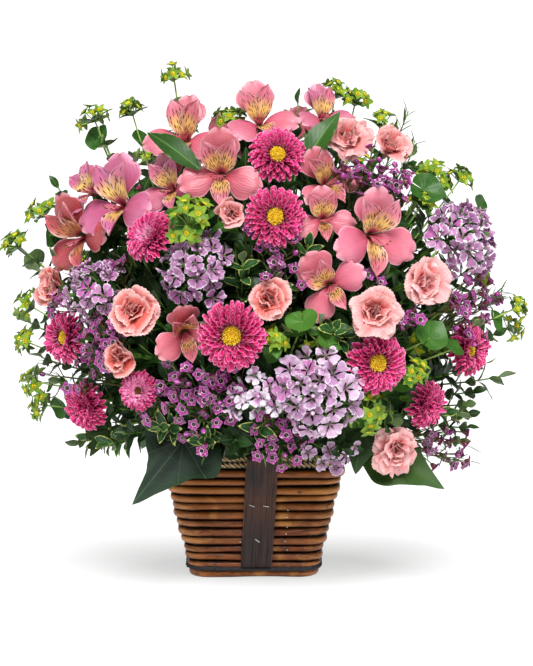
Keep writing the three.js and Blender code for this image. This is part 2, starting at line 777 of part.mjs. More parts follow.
// A spray of small cupped flowers on forked twigs, with a stem of its own in the foam.
function addWaxflowers() {
  WAXFLOWERS.forEach(([name, ...row], seed) => {
    const place = bloomFrame(row);
    const random = seeded(101 + seed);
    const rise = place.position.clone().setZ(0).normalize().multiplyScalar(SPRAY_OFFSET).setZ(BUNDLE_TOP);
    const foot = rise.clone().setZ(SPRAY_FOOT);
    const fork = place.position.clone().lerp(rise, 0.3);
    const flowers = Array.from({ length: WAX_FLOWERS }, (_, i) => {
      const angle = (2 * Math.PI * (i + 0.5 * random())) / WAX_FLOWERS;
      const reach = place.radius * (i % 2 ? 1 : 0.5);
      const spot = vec(reach * Math.cos(angle), reach * Math.sin(angle), 6 - 8 * random());
      spot.applyMatrix4(place.frame);
      const out = spot.clone().sub(fork).normalize();
      const neck = spot.clone().addScaledVector(out, -3);
      return { point: neck, radius: TWIG_RADIUS, head: floretHead(spot, out, WAX_RADIUS, random() * 72) };
    });
    const clear = flowers.filter((flower) => !crosses(twigSolid(fork, flower), placed));
    const kids = [{ point: fork, radius: STALK_RADIUS, kids: forked(fork, TWIG_RADIUS, clear, 0.3) }];
    const root = { point: foot, radius: STALK_RADIUS, kids: [{ point: rise, radius: STALK_RADIUS, kids }] };
    const geometry = plantGeometry(root);
    placed.push(solidOf(geometry));
    addMesh(name, geometry, MATERIALS.waxflower);
    const bore = STALK_RADIUS + SPRAY_PLAY;
    holes.push(tube([foot.clone().setZ(SPRAY_FOOT - GAP), rise.clone().setZ(FOAM_TOP + 5)], [bore, bore]));
  });
}

function twigSolid(root, node) {
  return solidOf(plantGeometry({ point: root, radius: TWIG_RADIUS, kids: [node] }));
}

// ---------------------------------------------------------------- greenery
const holes = [];                // the plain holes that the foam gets

function sectorOf(point) {
  const turn = THREE.MathUtils.radToDeg(Math.atan2(point.x, -point.y));
  const holds = ({ from, to }, angle) => angle >= from && angle < to;
  return SECTORS.find((sector) => holds(sector, turn) || holds(sector, turn + 360));
}

function bundleTop(point) {
  const { from, to } = sectorOf(point);
  return facing((from + to) / 2, 0).multiplyScalar(BUNDLE_OFFSET).setZ(BUNDLE_TOP);
}

// A small leaf: flat above, keeled below.
function smallLeaf(length, width, droop) {
  const widest = vec(0, 0, 0.45 * length);
  const ring = [
    widest.clone().add(vec(width / 2, 0.6, 0)),
    widest.clone().add(vec(-width / 2, 0.6, 0)),
    widest.clone().add(vec(0, -0.8, 0)),
  ];
  return skin([ring], vec(0, 0, 0), vec(0, -droop, length));
}

// The star of an umbel, with five points.
function umbelHead(centre, direction, radius, roll) {
  const frame = frameAt(centre, direction, roll);
  const ring = polarRing(10, (i) => (i % 2 ? 0.46 : 1) * radius, (i) => (i % 2 ? 0 : 0.25) * radius);
  return { ring: ring.map((p) => p.applyMatrix4(frame)), apex: vec(0, 0, 0.14 * radius).applyMatrix4(frame) };
}

// A lobed leaf, fanned out from the end of its stalk towards its tip.
function lobedLeaf(size) {
  const outline = [
    [0, 1], [24, 0.8], [50, 0.88], [78, 0.68], [110, 0.66], [155, 0.26],
    [205, 0.26], [250, 0.66], [282, 0.68], [310, 0.88], [336, 0.8],
  ];
  const ring = outline.map(([turn, reach]) => {
    const angle = radians(turn);
    const sag = -0.16 * reach * reach;
    return vec(reach * size * Math.sin(angle), sag * size, reach * size * Math.cos(angle));
  });
  return skin([ring], vec(0, -0.9, 0.04 * size), vec(0, 0.9, 0.04 * size));
}

function leafFrame(root, along, up) {
  const side = up.clone().cross(along).normalize();
  const over = along.clone().cross(side);
  return new THREE.Matrix4().makeBasis(side, over, along).setPosition(root);
}

// Leaves in turn round the outer part of a stem, from one share of its length to its tip.
function leavesAlong(start, end, { from, count, length, width, random }) {
  const along = end.clone().sub(start).normalize();
  return Array.from({ length: count }, (_, i) => {
    const share = count > 1 ? from + ((0.97 - from) * i) / (count - 1) : from;
    const root = start.clone().lerp(end, share);
    const side = frameAt(root, along, i * 137.5 + 20 * random());
    const outward = vec(1, 0, 0).transformDirection(side);
    const direction = outward.multiplyScalar(0.9).addScaledVector(along, 0.7).normalize();
    const size = length * (0.85 + 0.3 * random());
    return smallLeaf(size, width, 0.12 * size).applyMatrix4(leafFrame(root, direction, vec(0, 0, 1)));
  });
}

function bloomStems() {
  return stems.map(({ neck, base, cup }) => ({
    point: neck,
    radius: STEM_RADIUS,
    kids: [{ point: base, radius: cup }],
    leaves: 1,
    leaf: { from: 0.8, length: 46, width: 15 },
  }));
}

function umbels(random) {
  return BUPLEURUM.map((row) => {
    const tip = domePoint(...row);
    const out = tip.clone().sub(bundleTop(tip)).normalize();
    const neck = tip.clone().addScaledVector(out, -5);
    const head = umbelHead(tip, out, UMBEL_RADIUS, random() * 60);
    const node = { point: neck, radius: TWIG_RADIUS, head };
    return { ...node, leaves: 1, leaf: { from: 0.6, length: 18, width: 11 } };
  }).filter((node) => !crosses(twigSolid(bundleTop(node.point).lerp(node.point, 0.8), node), placed));
}

function sprigs() {
  return SPRIGS.map((row) => ({
    point: domePoint(...row),
    radius: TWIG_RADIUS,
    leaves: 5,
    leaf: { from: 0.55, length: 21, width: 10 },
  }));
}

function largeLeaves() {
  return LARGE_LEAVES.map(({ stalk, tip, size }) => {
    const end = vec(...stalk);
    const along = vec(...tip).sub(end).normalize();
    const outward = vec(end.x, end.y, 40).normalize();
    const blade = lobedLeaf(size).applyMatrix4(leafFrame(end, along, outward));
    const point = end.clone().addScaledVector(along, 6);
    return { point: end, radius: STALK_RADIUS, kids: [{ point, radius: TWIG_RADIUS }], blade };
  });
}

// The leaves of a node: they sit on the last stretch of its own straight stem.
function leavesOf({ leaves, leaf, point }, root, random) {
  return leaves ? leavesAlong(root, point, { ...leaf, count: leaves, random }) : [];
}

function leavesIn(node, root, random) {
  const kids = node.kids ?? [];
  const own = [...(node.blade ? [node.blade] : []), ...leavesOf(node, root, random)];
  return [...own, ...kids.flatMap((kid) => leavesIn(kid, node.point, random))];
}

function sectorBush({ name, from, to }, nodes) {
  const top = bundleTop(facing((from + to) / 2, 0));
  const foot = top.clone().setZ(BUNDLE_FOOT);
  const own = nodes.filter(({ point }) => sectorOf(point).name === name);
  const crown = { point: top, radius: BUNDLE_RADIUS, kids: forked(top, STEM_RADIUS * 1.4, own, FORK_SHARE) };
  const solid = solidOf(plantGeometry({ point: foot, radius: BUNDLE_RADIUS, kids: [crown] }));
  const bore = BUNDLE_RADIUS + 2 * GAP;
  holes.push(tube([foot.clone().setZ(BUNDLE_FOOT - GAP), top.clone().setZ(FOAM_TOP + 5)], [bore, bore]));
  return { name, crown, foot, solid };
}

// The stems of every sector come first. Then leaves grow on them where there is room.
function addGreenery() {
  const random = seeded(501);
  const nodes = [...bloomStems(), ...umbels(random), ...sprigs(), ...largeLeaves()];
  const bushes = SECTORS.map((sector) => sectorBush(sector, nodes));
  bushes.forEach((bush) => {
    const others = [...placed, ...bushes.filter((other) => other !== bush).map((other) => other.solid)];
    const grown = leavesIn(bush.crown, bush.foot, random).map(solidOf);
    const leaves = grown.filter((leaf) => !crosses(leaf, others));
    bush.solid = joined([bush.solid, ...leaves]);
    addMesh(bush.name, geometryFrom(bush.solid), MATERIALS.greenery);
  });
}

function addFoam() {
  const foam = holes.map(solidOf).reduce((block, hole) => block.subtract(hole), foamBlock());
  addMesh('foam', geometryFrom(foam), MATERIALS.foam);
}

addBasket();
addAsters();
addCarnations();
addDianthus();
addAlstroemerias();
addWaxflowers();
addGreenery();
addFoam();

export default object;
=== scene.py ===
import math

import bpy
import numpy as np
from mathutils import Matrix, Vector


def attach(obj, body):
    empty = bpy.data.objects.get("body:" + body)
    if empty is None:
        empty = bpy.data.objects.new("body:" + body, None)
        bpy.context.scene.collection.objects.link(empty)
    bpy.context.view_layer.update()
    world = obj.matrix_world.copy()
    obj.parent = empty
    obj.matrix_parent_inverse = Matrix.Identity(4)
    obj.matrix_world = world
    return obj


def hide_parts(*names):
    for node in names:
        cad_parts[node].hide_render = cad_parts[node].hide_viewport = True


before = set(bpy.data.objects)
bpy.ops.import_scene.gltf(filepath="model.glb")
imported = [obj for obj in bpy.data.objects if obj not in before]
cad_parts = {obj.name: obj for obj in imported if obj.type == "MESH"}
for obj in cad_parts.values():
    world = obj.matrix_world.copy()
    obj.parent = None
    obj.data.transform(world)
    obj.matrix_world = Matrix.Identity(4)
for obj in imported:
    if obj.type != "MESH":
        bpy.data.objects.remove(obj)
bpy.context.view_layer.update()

MM = 0.001

# ---------------------------------------------------------------- the basket's sizes, mm
GAP = 0.3
BASE_HALF = 53
WALL_LEAN = 0.232
WALL_HEIGHT = 94
CORNER_RADIUS = 17
ROD_COURSES = 13
ROD_RADIUS = 3.3
RIM_HEIGHT = 12
RIM_WIDTH = 11
SLAT_WIDTH = 26
SLAT_THICKNESS = 3
SLAT_FOOT = 10
SLAT_HEAD = 105
SLAT_SHIFT = 2
SLAT_SKEW = 0.055
FOAM_TOP = 114

# ---------------------------------------------------------------- the layout, mm and degrees
DOME_CENTRE = (11, 215)
DOME_WIDTH = 185
DOME_DEPTH = 150
DOME_BACK_DEPTH = 104
DOME_HEIGHT = 175
BUNDLE_TOP = 118
BUNDLE_OFFSET = 27
SPRAY_OFFSET = 44

# Each row: x, z, lift out of the dome, radius, degrees right of straight ahead, degrees up, roll.
ASTERS = {
    "aster_top": (19, 350, 4, 23, 5, 30, 0),
    "aster_upper": (17, 305, 6, 24, 4, 14, 10),
    "aster_upper_left": (-80, 288, 8, 22, -42, 30, 5),
    "aster_centre": (-16, 216, 14, 27, -6, 3, 0),
    "aster_left": (-150, 202, 0, 22, -48, 4, 9),
    "aster_low_left": (-134, 147, 2, 21, -38, -6, 3),
    "aster_small": (-90, 167, 6, 16, -16, 8, 12),
    "aster_right_centre": (96, 192, 10, 25, 18, 2, 6),
    "aster_low_right": (137, 152, 2, 20, 46, -8, 0),
    "aster_right": (172, 192, 0, 22, 46, 4, 14),
    "aster_back_top": (-88, 298, 2, 23, 218, 22, 0, True),
    "aster_back_right": (110, 222, 2, 24, 142, 6, 8, True),
    "aster_back_left": (-78, 172, 2, 23, 208, 0, 4, True),
}
CARNATIONS = {
    "carnation_top_right": (73, 361, 2, 19, 15, 38, 0),
    "carnation_top_far": (108, 352, 2, 17, 34, 34, 20),
    "carnation_bud": (-17, 308, 16, 13, -4, 10, 0),
    "carnation_far_left": (-160, 241, 2, 17, -54, 8, 8),
    "carnation_left": (-92, 232, 16, 23, -20, 14, 0),
    "carnation_low_left": (-103, 194, 6, 16, -26, 4, 14),
    "carnation_centre": (12, 243, 6, 19, 2, 18, 6),
    "carnation_right_centre": (94, 233, 16, 21, 14, 14, 12),
    "carnation_right": (133, 252, 8, 21, 30, 10, 3),
    "carnation_low_right": (112, 118, 6, 20, 26, -12, 9),
    "carnation_back_top": (88, 300, 2, 20, 146, 24, 0, True),
    "carnation_back_left": (-110, 240, 2, 20, 220, 8, 10, True),
    "carnation_back_low": (58, 154, 6, 20, 158, -6, 5, True),
}
# How far a carnation has opened, where that is less than fully.
OPENNESS = {
    "carnation_bud": 0.3, "carnation_top_far": 0.6, "carnation_far_left": 0.6, "carnation_low_left": 0.5,
    "carnation_left": 0.78, "carnation_centre": 0.8, "carnation_right_centre": 0.86,
    "carnation_right": 0.84,
}
# How pale a carnation is: partly its own colour, partly painted shade that keeps the blooms on the left
# darker.
BLUSH_AND_SHADE = {
    "carnation_left": 0.1, "carnation_low_left": 0.0, "carnation_far_left": 0.1, "carnation_centre": 0.12,
    "carnation_right_centre": 0.6, "carnation_right": 0.9, "carnation_low_right": 0.85,
    "carnation_top_right": 0.8,
}
DIANTHUS = {
    "dianthus_right": (163, 281, 2, 31, 50, 22, 0),
    "dianthus_left_centre": (-43, 264, -6, 27, -14, 14, 30),
    "dianthus_left": (-122, 243, -6, 25, -38, 10, 12),
    "dianthus_low": (50, 170, 6, 33, 10, -4, 45),
    "dianthus_low_centre": (-2, 166, -2, 18, -2, -4, 20),
    "dianthus_back": (4, 250, 0, 33, 180, 8, 0, True),
}
ALSTROEMERIAS = {
    "alstroemeria_top_left": [(-56, 365, 0, 31, -14, 42, 0), (-67, 325, -6, 25, -28, 24, 20)],
    "alstroemeria_left": [
        (-109, 313, 9, 34.5, -31, 25, 8),
        (-134, 321, 40, 23, -58, 34, 50),
        (-143, 283, 8, 32, -43, 6, 25),
    ],
    "alstroemeria_top": [(-26, 338, 7, 31, -6, 18, 0), (5, 378, 2, 29, 0, 44, 15)],
    "alstroemeria_top_right": [
        (57, 380, 6, 24, 24, 46, 0),
        (58, 331, -4, 26, 12, 32, 30),
        (55, 304, 2, 23, 4, 20, 5),
    ],
    "alstroemeria_right": [(96, 291, 16, 34, 26, 8, 0)],
    "alstroemeria_centre": [(59, 253, 2, 27.5, -4, 6, 40)],
    "alstroemeria_low_left": [(-52, 215, 6, 26, 12, -8, 15)],
    "alstroemeria_back": [
        (-26, 348, 4, 26, 190, 34, 0, True),
        (34, 354, 4, 26, 170, 34, 20, True),
        (2, 306, 4, 27, 180, 16, 40, True),
    ],
}
WAXFLOWERS = {
    "waxflower_top_right": (98, 330, 2, 26, 26, 26, 0),
    "waxflower_right": (176, 226, 6, 28, 52, 4, 30),
    "waxflower_left": (-121, 206, 4, 21, -36, 2, 60),
    "waxflower_low_left": (-42, 162, 6, 28, -10, -8, 15),
    "waxflower_low": (22, 134, 8, 24, 4, -12, 40),
    "waxflower_low_right": (158, 106, 30, 24, 44, -24, 10),
}
# Bupleurum umbels and sprigs of edged leaves: x, z, lift, back.
UMBELS = [
    (17, 215, 12), (-134, 381, 10), (-101, 384, 4), (-66, 414, 8), (-177, 300, 8), (-200, 275, 14),
    (-190, 222, 4), (-195, 193, 16), (-188, 158, 8), (-180, 139, 22), (-20, 382, 2), (67, 398, 6),
    (84, 393, 10), (106, 374, 4), (174, 331, 12), (138, 316, 8), (189, 250, 2), (222, 221, 12),
    (220, 203, 4), (139, 208, 12), (131, 183, 14), (42, 226, 14),
    (-60, 370, 8, True), (-92, 340, 12, True), (-150, 250, 14, True),
    (88, 340, 8, True), (156, 240, 12, True), (64, 196, 14, True),
]
LARGE_UMBELS = [(-51, 309, 20), (97, 155, 14), (149, 334, 8)]
SPRIGS = [
    (73, 218, 4), (-158, 264, 8), (-118, 116, 14), (4, 140, 6), (190, 174, 10),
    (43, 284, -2), (168, 134, 8), (-76, 136, 6), (-8, 272, -4),
    (-120, 350, 8), (36, 388, 4), (148, 300, -8), (-64, 250, 2, True), (60, 270, 2, True),
    (10, 190, 4, True), (-130, 190, 6, True), (130, 160, 6, True), (20, 130, 8, True),
]
# Large leaves over the rim: the stalk's end, the leaf's tip, the outline, how light it is.
LARGE_LEAVES = [
    ((-56, -104, 124), (-96, -124, 76), "swept", 0.0),
    ((107, -76, 111), (154, -92, 84), "heart", 0.9),
    ((-118, -56, 124), (-134, -64, 104), "lobed", 0.5),
    ((86, -104, 134), (81, -122, 100), "lobed", 0.4),
    ((-70, 98, 128), (-100, 118, 78), "lobed", 0.3),
    ((74, 98, 130), (104, 120, 80), "lobed", 0.6),
]
SECTORS = {
    "greenery_left": (-110, -55),
    "greenery_front_left": (-55, 0),
    "greenery_front_right": (0, 55),
    "greenery_right": (55, 110),
    "greenery_back_right": (110, 180),
    "greenery_back_left": (180, 250),
}


# ---------------------------------------------------------------- vectors and frames
GOLDEN_ANGLE = 137.508


def unit(vector):
    return vector / np.linalg.norm(vector)


def smooth(value, low, high):
    """Goes from 0 to 1, gently at both ends, as value goes from low to high."""
    share = np.clip((value - low) / (high - low), 0, 1)
    return share * share * (3 - 2 * share)


def facing(turn, tip):
    t, p = math.radians(turn), math.radians(tip)
    return np.array([math.sin(t) * math.cos(p), -math.cos(t) * math.cos(p), math.sin(p)])


def turned_about_z(degrees):
    c, s = math.cos(math.radians(degrees)), math.sin(math.radians(degrees))
    return np.array([[c, -s, 0, 0], [s, c, 0, 0], [0, 0, 1, 0], [0, 0, 0, 1.0]])


def moved(x, y, z):
    matrix = np.eye(4)
    matrix[:3, 3] = x, y, z
    return matrix


def frame_at(position, direction, roll=0.0):
    """x to the right, y up across the face, z out of it."""
    upright = np.array([0, 1.0, 0]) if abs(direction[2]) > 0.95 else np.array([0, 0, 1.0])
    right = unit(np.cross(upright, direction))
    matrix = np.eye(4)
    matrix[:3, 0], matrix[:3, 1], matrix[:3, 2] = right, np.cross(direction, right), direction
    matrix[:3, 3] = position
    return matrix @ turned_about_z(roll)


def leaf_frame(root, along, up):
    """y along the leaf, z out of its upper side."""
    side = unit(np.cross(along, up))
    matrix = np.eye(4)
    matrix[:3, 0], matrix[:3, 1], matrix[:3, 2] = side, along, np.cross(side, along)
    matrix[:3, 3] = root
    return matrix


def carried(points, matrix):
    return points @ matrix[:3, :3].T + matrix[:3, 3]


def on_axis(matrix, height):
    return carried(np.array([0, 0, height]), matrix)


def spun(turn, reach, height):
    """A point at a reach from the z axis, turned about it by an angle in radians."""
    return np.array([reach * math.cos(turn), reach * math.sin(turn), height])


def side_way(way, turn, outward, forward):
    """A direction that leaves a stem to one side."""
    return unit(frame_at(np.zeros(3), way, turn)[:3, 0] * outward + way * forward)


def dome_point(x, z, lift, back=False):
    across = (x - DOME_CENTRE[0]) / DOME_WIDTH
    upwards = (z - DOME_CENTRE[1]) / DOME_HEIGHT
    bulge = math.sqrt(max(1 - across**2 - upwards**2, 0))
    return np.array([x, DOME_BACK_DEPTH * bulge + lift if back else -DOME_DEPTH * bulge - lift, z])


def bloom_place(x, z, lift, radius, turn, tip, roll, back=False):
    """A bloom's radius, and the frame that it stands in."""
    return radius, frame_at(dome_point(x, z, lift, back), facing(turn, tip), roll)


def sector_of(point):
    turn = math.degrees(math.atan2(point[0], -point[1]))
    for name, (start, end) in SECTORS.items():
        if start <= turn < end or start <= turn + 360 < end:
            return name
    return "greenery_back_left"


def bundle_top(point):
    start, end = SECTORS[sector_of(point)]
    top = facing((start + end) / 2, 0) * BUNDLE_OFFSET
    return np.array([top[0], top[1], BUNDLE_TOP])


# ---------------------------------------------------------------- mesh making
class Piece:
    """Closed petals, leaves, tubes and beads, gathered into one mesh.

    Each point has a mark: how far across its petal, how far along it, and a draw of its own.
    """

    def __init__(self, name):
        self.name = name
        self.points, self.marks, self.unders = [], [], []
        self.faces, self.finishes, self.names = [], [], []
        self.total = 0

    def add(self, points, faces, marks, finish, under=0.0):
        if finish not in self.names:
            self.names.append(finish)
        self.points.append(points)
        self.marks.append(marks)
        self.unders.append(np.full(len(points), under))
        for part in faces:
            self.faces.append(part + self.total)
            self.finishes.append(np.full(len(part), self.names.index(finish)))
        self.total += len(points)

    def build(self, node, slot):
        mesh = bpy.data.meshes.new(self.name)
        points = np.concatenate(self.points) * MM
        loops = np.concatenate([part.ravel() for part in self.faces])
        sizes = np.concatenate([np.full(len(part), part.shape[1]) for part in self.faces])
        mesh.vertices.add(len(points))
        mesh.vertices.foreach_set("co", points.ravel())
        mesh.loops.add(len(loops))
        mesh.loops.foreach_set("vertex_index", loops)
        mesh.polygons.add(len(sizes))
        mesh.polygons.foreach_set("loop_start", np.concatenate([[0], np.cumsum(sizes)[:-1]]))
        mesh.polygons.foreach_set("material_index", np.concatenate(self.finishes))
        mesh.polygons.foreach_set("use_smooth", np.ones(len(sizes), bool))
        mark = mesh.attributes.new("mark", "FLOAT_VECTOR", "POINT")
        mark.data.foreach_set("vector", np.concatenate(self.marks).ravel())
        under = mesh.attributes.new("under", "FLOAT", "POINT")
        under.data.foreach_set("value", np.concatenate(self.unders))
        for finish in self.names:
            mesh.materials.append(FINISHES[finish])
        mesh.update(calc_edges=True)
        mesh.validate()
        piece = bpy.data.objects.new(self.name, mesh)
        bpy.context.scene.collection.objects.link(piece)
        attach(piece, "root")
        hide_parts(node)
        return piece


def grid_faces(rows, columns, wrap=False):
    """Quads over rows of points that face the side where across, then along, turns left."""
    across = np.arange(columns if wrap else columns - 1)
    here = np.arange(rows - 1)[:, None] * columns
    a, b = here + across, here + (across + 1) % columns
    return np.stack([a, b, b + columns, a + columns], -1).reshape(-1, 4)


def grid(rows, columns):
    return np.meshgrid(np.linspace(0, 1, rows), np.linspace(-1, 1, columns), indexing="ij")


def pointed(along, low, taper, power=1.0, high=0.985):
    """The half width of a leaf with pointed ends, as a share of its widest."""
    return np.sin(math.pi * np.clip(along[:, 0] ** power, low, high)) ** taper


def cupped(width, across):
    """The height of a leaf's or petal's sides over its middle, when it is bent like a gutter."""
    return width[:, None] * across**2


def bent(length, angles):
    """A spine in the y-z plane that starts at zero, by its angle above the y axis at each row."""
    turns = np.radians(angles)
    middle = (turns[1:] + turns[:-1]) / 2
    step = length / len(middle)
    spine = np.zeros((len(angles), 2))
    spine[1:, 0] = np.cumsum(step * np.cos(middle))
    spine[1:, 1] = np.cumsum(step * np.sin(middle))
    return spine, np.stack([np.cos(turns), np.sin(turns)], -1)


def sheet(piece, matrix, finish, spine, width, draw, lift, slide=0.0, thickness=0.5):
    """A thin closed petal or leaf: the two skins meet all round its edge.

    spine is what bent gives and width the half width at each row. lift raises a point off the
    spine's plane, and slide moves it along the spine.
    """
    centre, tangent = spine
    rows, columns = np.broadcast_shapes(np.shape(lift), np.shape(slide), (len(centre), 1))
    along, across = grid(rows, columns)
    normal = np.stack([-tangent[:, 1], tangent[:, 0]], -1)
    lift, slide = np.broadcast_to(lift, (rows, columns)), np.broadcast_to(slide, (rows, columns))
    ends = np.clip(np.minimum(along, 1 - along) * 8, 0, 1)
    body = thickness / 2 * (1 - across**4) * ends
    marks = np.stack([across, along, np.full_like(across, draw)], -1).reshape(-1, 3)
    faces = grid_faces(rows, columns)
    for side, quads in ((1, faces), (-1, faces[:, ::-1])):
        height = lift + side * body
        y = centre[:, :1] + height * normal[:, :1] + slide * tangent[:, :1]
        z = centre[:, 1:] + height * normal[:, 1:] + slide * tangent[:, 1:]
        points = np.stack([across * width[:, None], y, z], -1).reshape(-1, 3)
        piece.add(carried(points, matrix), [quads], marks, finish, under=float(side < 0))


def rings_skin(piece, rings, finish, draw):
    """A closed skin over rings of points that run round a growing line, with a fan at each end."""
    rows, columns = rings.shape[:2]
    along = np.repeat(np.linspace(0, 1, rows), columns)
    around = np.tile(np.linspace(-1, 1, columns, endpoint=False), rows)
    ends = np.stack([rings[0].mean(0), rings[-1].mean(0)])
    points = np.concatenate([rings.reshape(-1, 3), ends])
    marks = np.stack([around, along, np.full(rows * columns, draw)], -1)
    marks = np.concatenate([marks, [[0, 0, draw], [0, 1, draw]]])
    step = np.arange(columns)
    after = (step + 1) % columns
    first, last = rows * columns, rows * columns + 1
    foot = np.stack([after, step, np.full(columns, first)], -1)
    top = np.stack([step, after, np.full(columns, last)], -1) + np.array([1, 1, 0]) * (rows - 1) * columns
    piece.add(points, [grid_faces(rows, columns, wrap=True), foot, top], marks, finish)


def turned(piece, matrix, finish, profile, draw, sides):
    """A turned shape about z, by radius and height from its foot up."""
    angles = np.arange(sides) * 2 * math.pi / sides
    profile = np.array(profile, float)
    x, y = profile[:, :1] * np.cos(angles), profile[:, :1] * np.sin(angles)
    rings = np.stack([x, y, np.repeat(profile[:, 1:], sides, 1)], -1)
    rings_skin(piece, carried(rings.reshape(-1, 3), matrix).reshape(rings.shape), finish, draw)


def curve_frames(path):
    """Two cross directions at each point of a path, carried along it without twist."""
    tangents = np.vstack([path[1:], path[-1:]]) - np.vstack([path[:1], path[:-1]])
    tangents /= np.linalg.norm(tangents, axis=1)[:, None]
    side = np.cross(tangents[0], [0, 0, 1.0])
    side = unit(side) if np.linalg.norm(side) > 0.1 else np.array([1.0, 0, 0])
    sides = []
    for tangent in tangents:
        side = unit(side - tangent * side.dot(tangent))
        sides.append(side)
    sides = np.array(sides)
    return sides, np.cross(tangents, sides)


def tube(piece, path, radii, finish, draw=0.5, sides=6):
    path = np.asarray(path, float)
    radii = np.broadcast_to(radii, len(path))[:, None, None]
    sideways, upwards = curve_frames(path)
    angles = np.arange(sides) * 2 * math.pi / sides
    rings = path[:, None] + radii * (
        np.cos(angles)[:, None] * sideways[:, None] + np.sin(angles)[:, None] * upwards[:, None]
    )
    rings_skin(piece, rings, finish, draw)


def bow(start, end, start_way, end_way, count, pull=0.35):
    """A curve from start to end that leaves along start_way and arrives along end_way."""
    reach = np.linalg.norm(end - start) * pull
    a, b, c, d = start, start + start_way * reach, end - end_way * reach, end
    t = np.linspace(0, 1, count)[:, None]
    return (1 - t) ** 3 * a + 3 * (1 - t) ** 2 * t * b + 3 * (1 - t) * t**2 * c + t**3 * d


def bead(piece, centre, radius, finish, draw, direction, stretch):
    heights = np.array([-1, -0.6, 0.2, 0.75, 1.0])
    profile = [(radius * math.sqrt(max(1 - h * h, 0.02)), radius * stretch * h) for h in heights]
    turned(piece, frame_at(centre, unit(np.array(direction))), finish, profile, draw, sides=6)


# ---------------------------------------------------------------- colours and node wiring
def hue(code):
    """A colour from six hexadecimal digits."""
    parts = [int(code[i:i + 2], 16) / 255 for i in (0, 2, 4)]
    return tuple(c / 12.92 if c < 0.04045 else ((c + 0.055) / 1.055) ** 2.4 for c in parts) + (1.0,)


class Graph:
    """Short words for wiring the nodes of one tree. A colour may be given by its digits."""

    def __init__(self, tree):
        self.tree = tree

    def node(self, kind, **settings):
        node = self.tree.nodes.new("ShaderNode" + kind)
        for name, value in settings.items():
            setattr(node, name, value)
        return node

    def put(self, value, socket):
        if isinstance(value, bpy.types.NodeSocket):
            self.tree.links.new(value, socket)
        else:
            socket.default_value = hue(value) if isinstance(value, str) else value

    def fill(self, node, *values):
        for value, socket in zip(values, node.inputs):
            self.put(value, socket)
        return node.outputs[0]

    def math(self, operation, *values, clamp=False):
        return self.fill(self.node("Math", operation=operation, use_clamp=clamp), *values)

    def times(self, first, second):
        return self.math("MULTIPLY", first, second)

    def plus(self, first, second, clamp=False):
        return self.math("ADD", first, second, clamp=clamp)

    def most(self, first, second):
        return self.math("MAXIMUM", first, second)

    def size(self, value):
        return self.math("ABSOLUTE", value)

    def rest(self, value):
        """What is left of 1."""
        return self.math("SUBTRACT", 1.0, value, clamp=True)

    def mix(self, share, first, second):
        node = self.node("Mix", data_type="RGBA")
        for value, at in ((share, 0), (first, 6), (second, 7)):
            self.put(value, node.inputs[at])
        return node.outputs[2]

    def tint(self, colour, other, mask, strength):
        """The colour, moved towards another where the mask says."""
        return self.mix(self.times(mask, strength), colour, other)

    def span(self, value, low, high, start=0.0, end=1.0):
        return self.fill(self.node("MapRange"), value, low, high, start, end)

    def fall(self, value, low, high, start=1.0):
        return self.span(value, low, high, start, 0.0)

    def band(self, value, rise_from, rise_to, fall_from, fall_to, top=1.0):
        """0 outside a stretch of value, and 1 or top inside it."""
        return self.times(self.span(value, rise_from, rise_to), self.fall(value, fall_from, fall_to, top))

    def noise(self, vector, scale, detail=2.0, distortion=0.0):
        node = self.node("TexNoise")
        given = {"Vector": vector, "Scale": scale, "Detail": detail, "Distortion": distortion}
        for name, value in given.items():
            self.put(value, node.inputs[name])
        return node.outputs["Fac"]

    def combine(self, *values):
        return self.fill(self.node("CombineXYZ"), *values)

    def parts(self, vector):
        node = self.node("SeparateXYZ")
        self.put(vector, node.inputs[0])
        return node.outputs

    def attribute(self, name, output):
        return self.node("Attribute", attribute_name=name).outputs[output]

    def place(self):
        return self.node("TexCoord").outputs["Object"]

    def effect(self, name, **values):
        """One of the shared effects with its own values: its outputs, or the one that it has."""
        node = self.node("Group", node_tree=bpy.data.node_groups[name])
        for socket, value in values.items():
            self.put(value, node.inputs[socket])
        return node.outputs if len(node.outputs) > 1 else node.outputs[0]


def effect_group(name, inputs, outputs):
    """A shared effect: its graph, its input sockets and the sockets that take its outputs."""
    tree = bpy.data.node_groups.new(name, "ShaderNodeTree")
    for socket, value in inputs.items():
        made = tree.interface.new_socket(name=socket, in_out="INPUT", socket_type="NodeSocketFloat")
        made.default_value = value
    for socket in outputs:
        tree.interface.new_socket(name=socket, in_out="OUTPUT", socket_type="NodeSocketFloat")
    given = tree.nodes.new("NodeGroupInput")
    result = tree.nodes.new("NodeGroupOutput")
    return Graph(tree), given.outputs, result.inputs


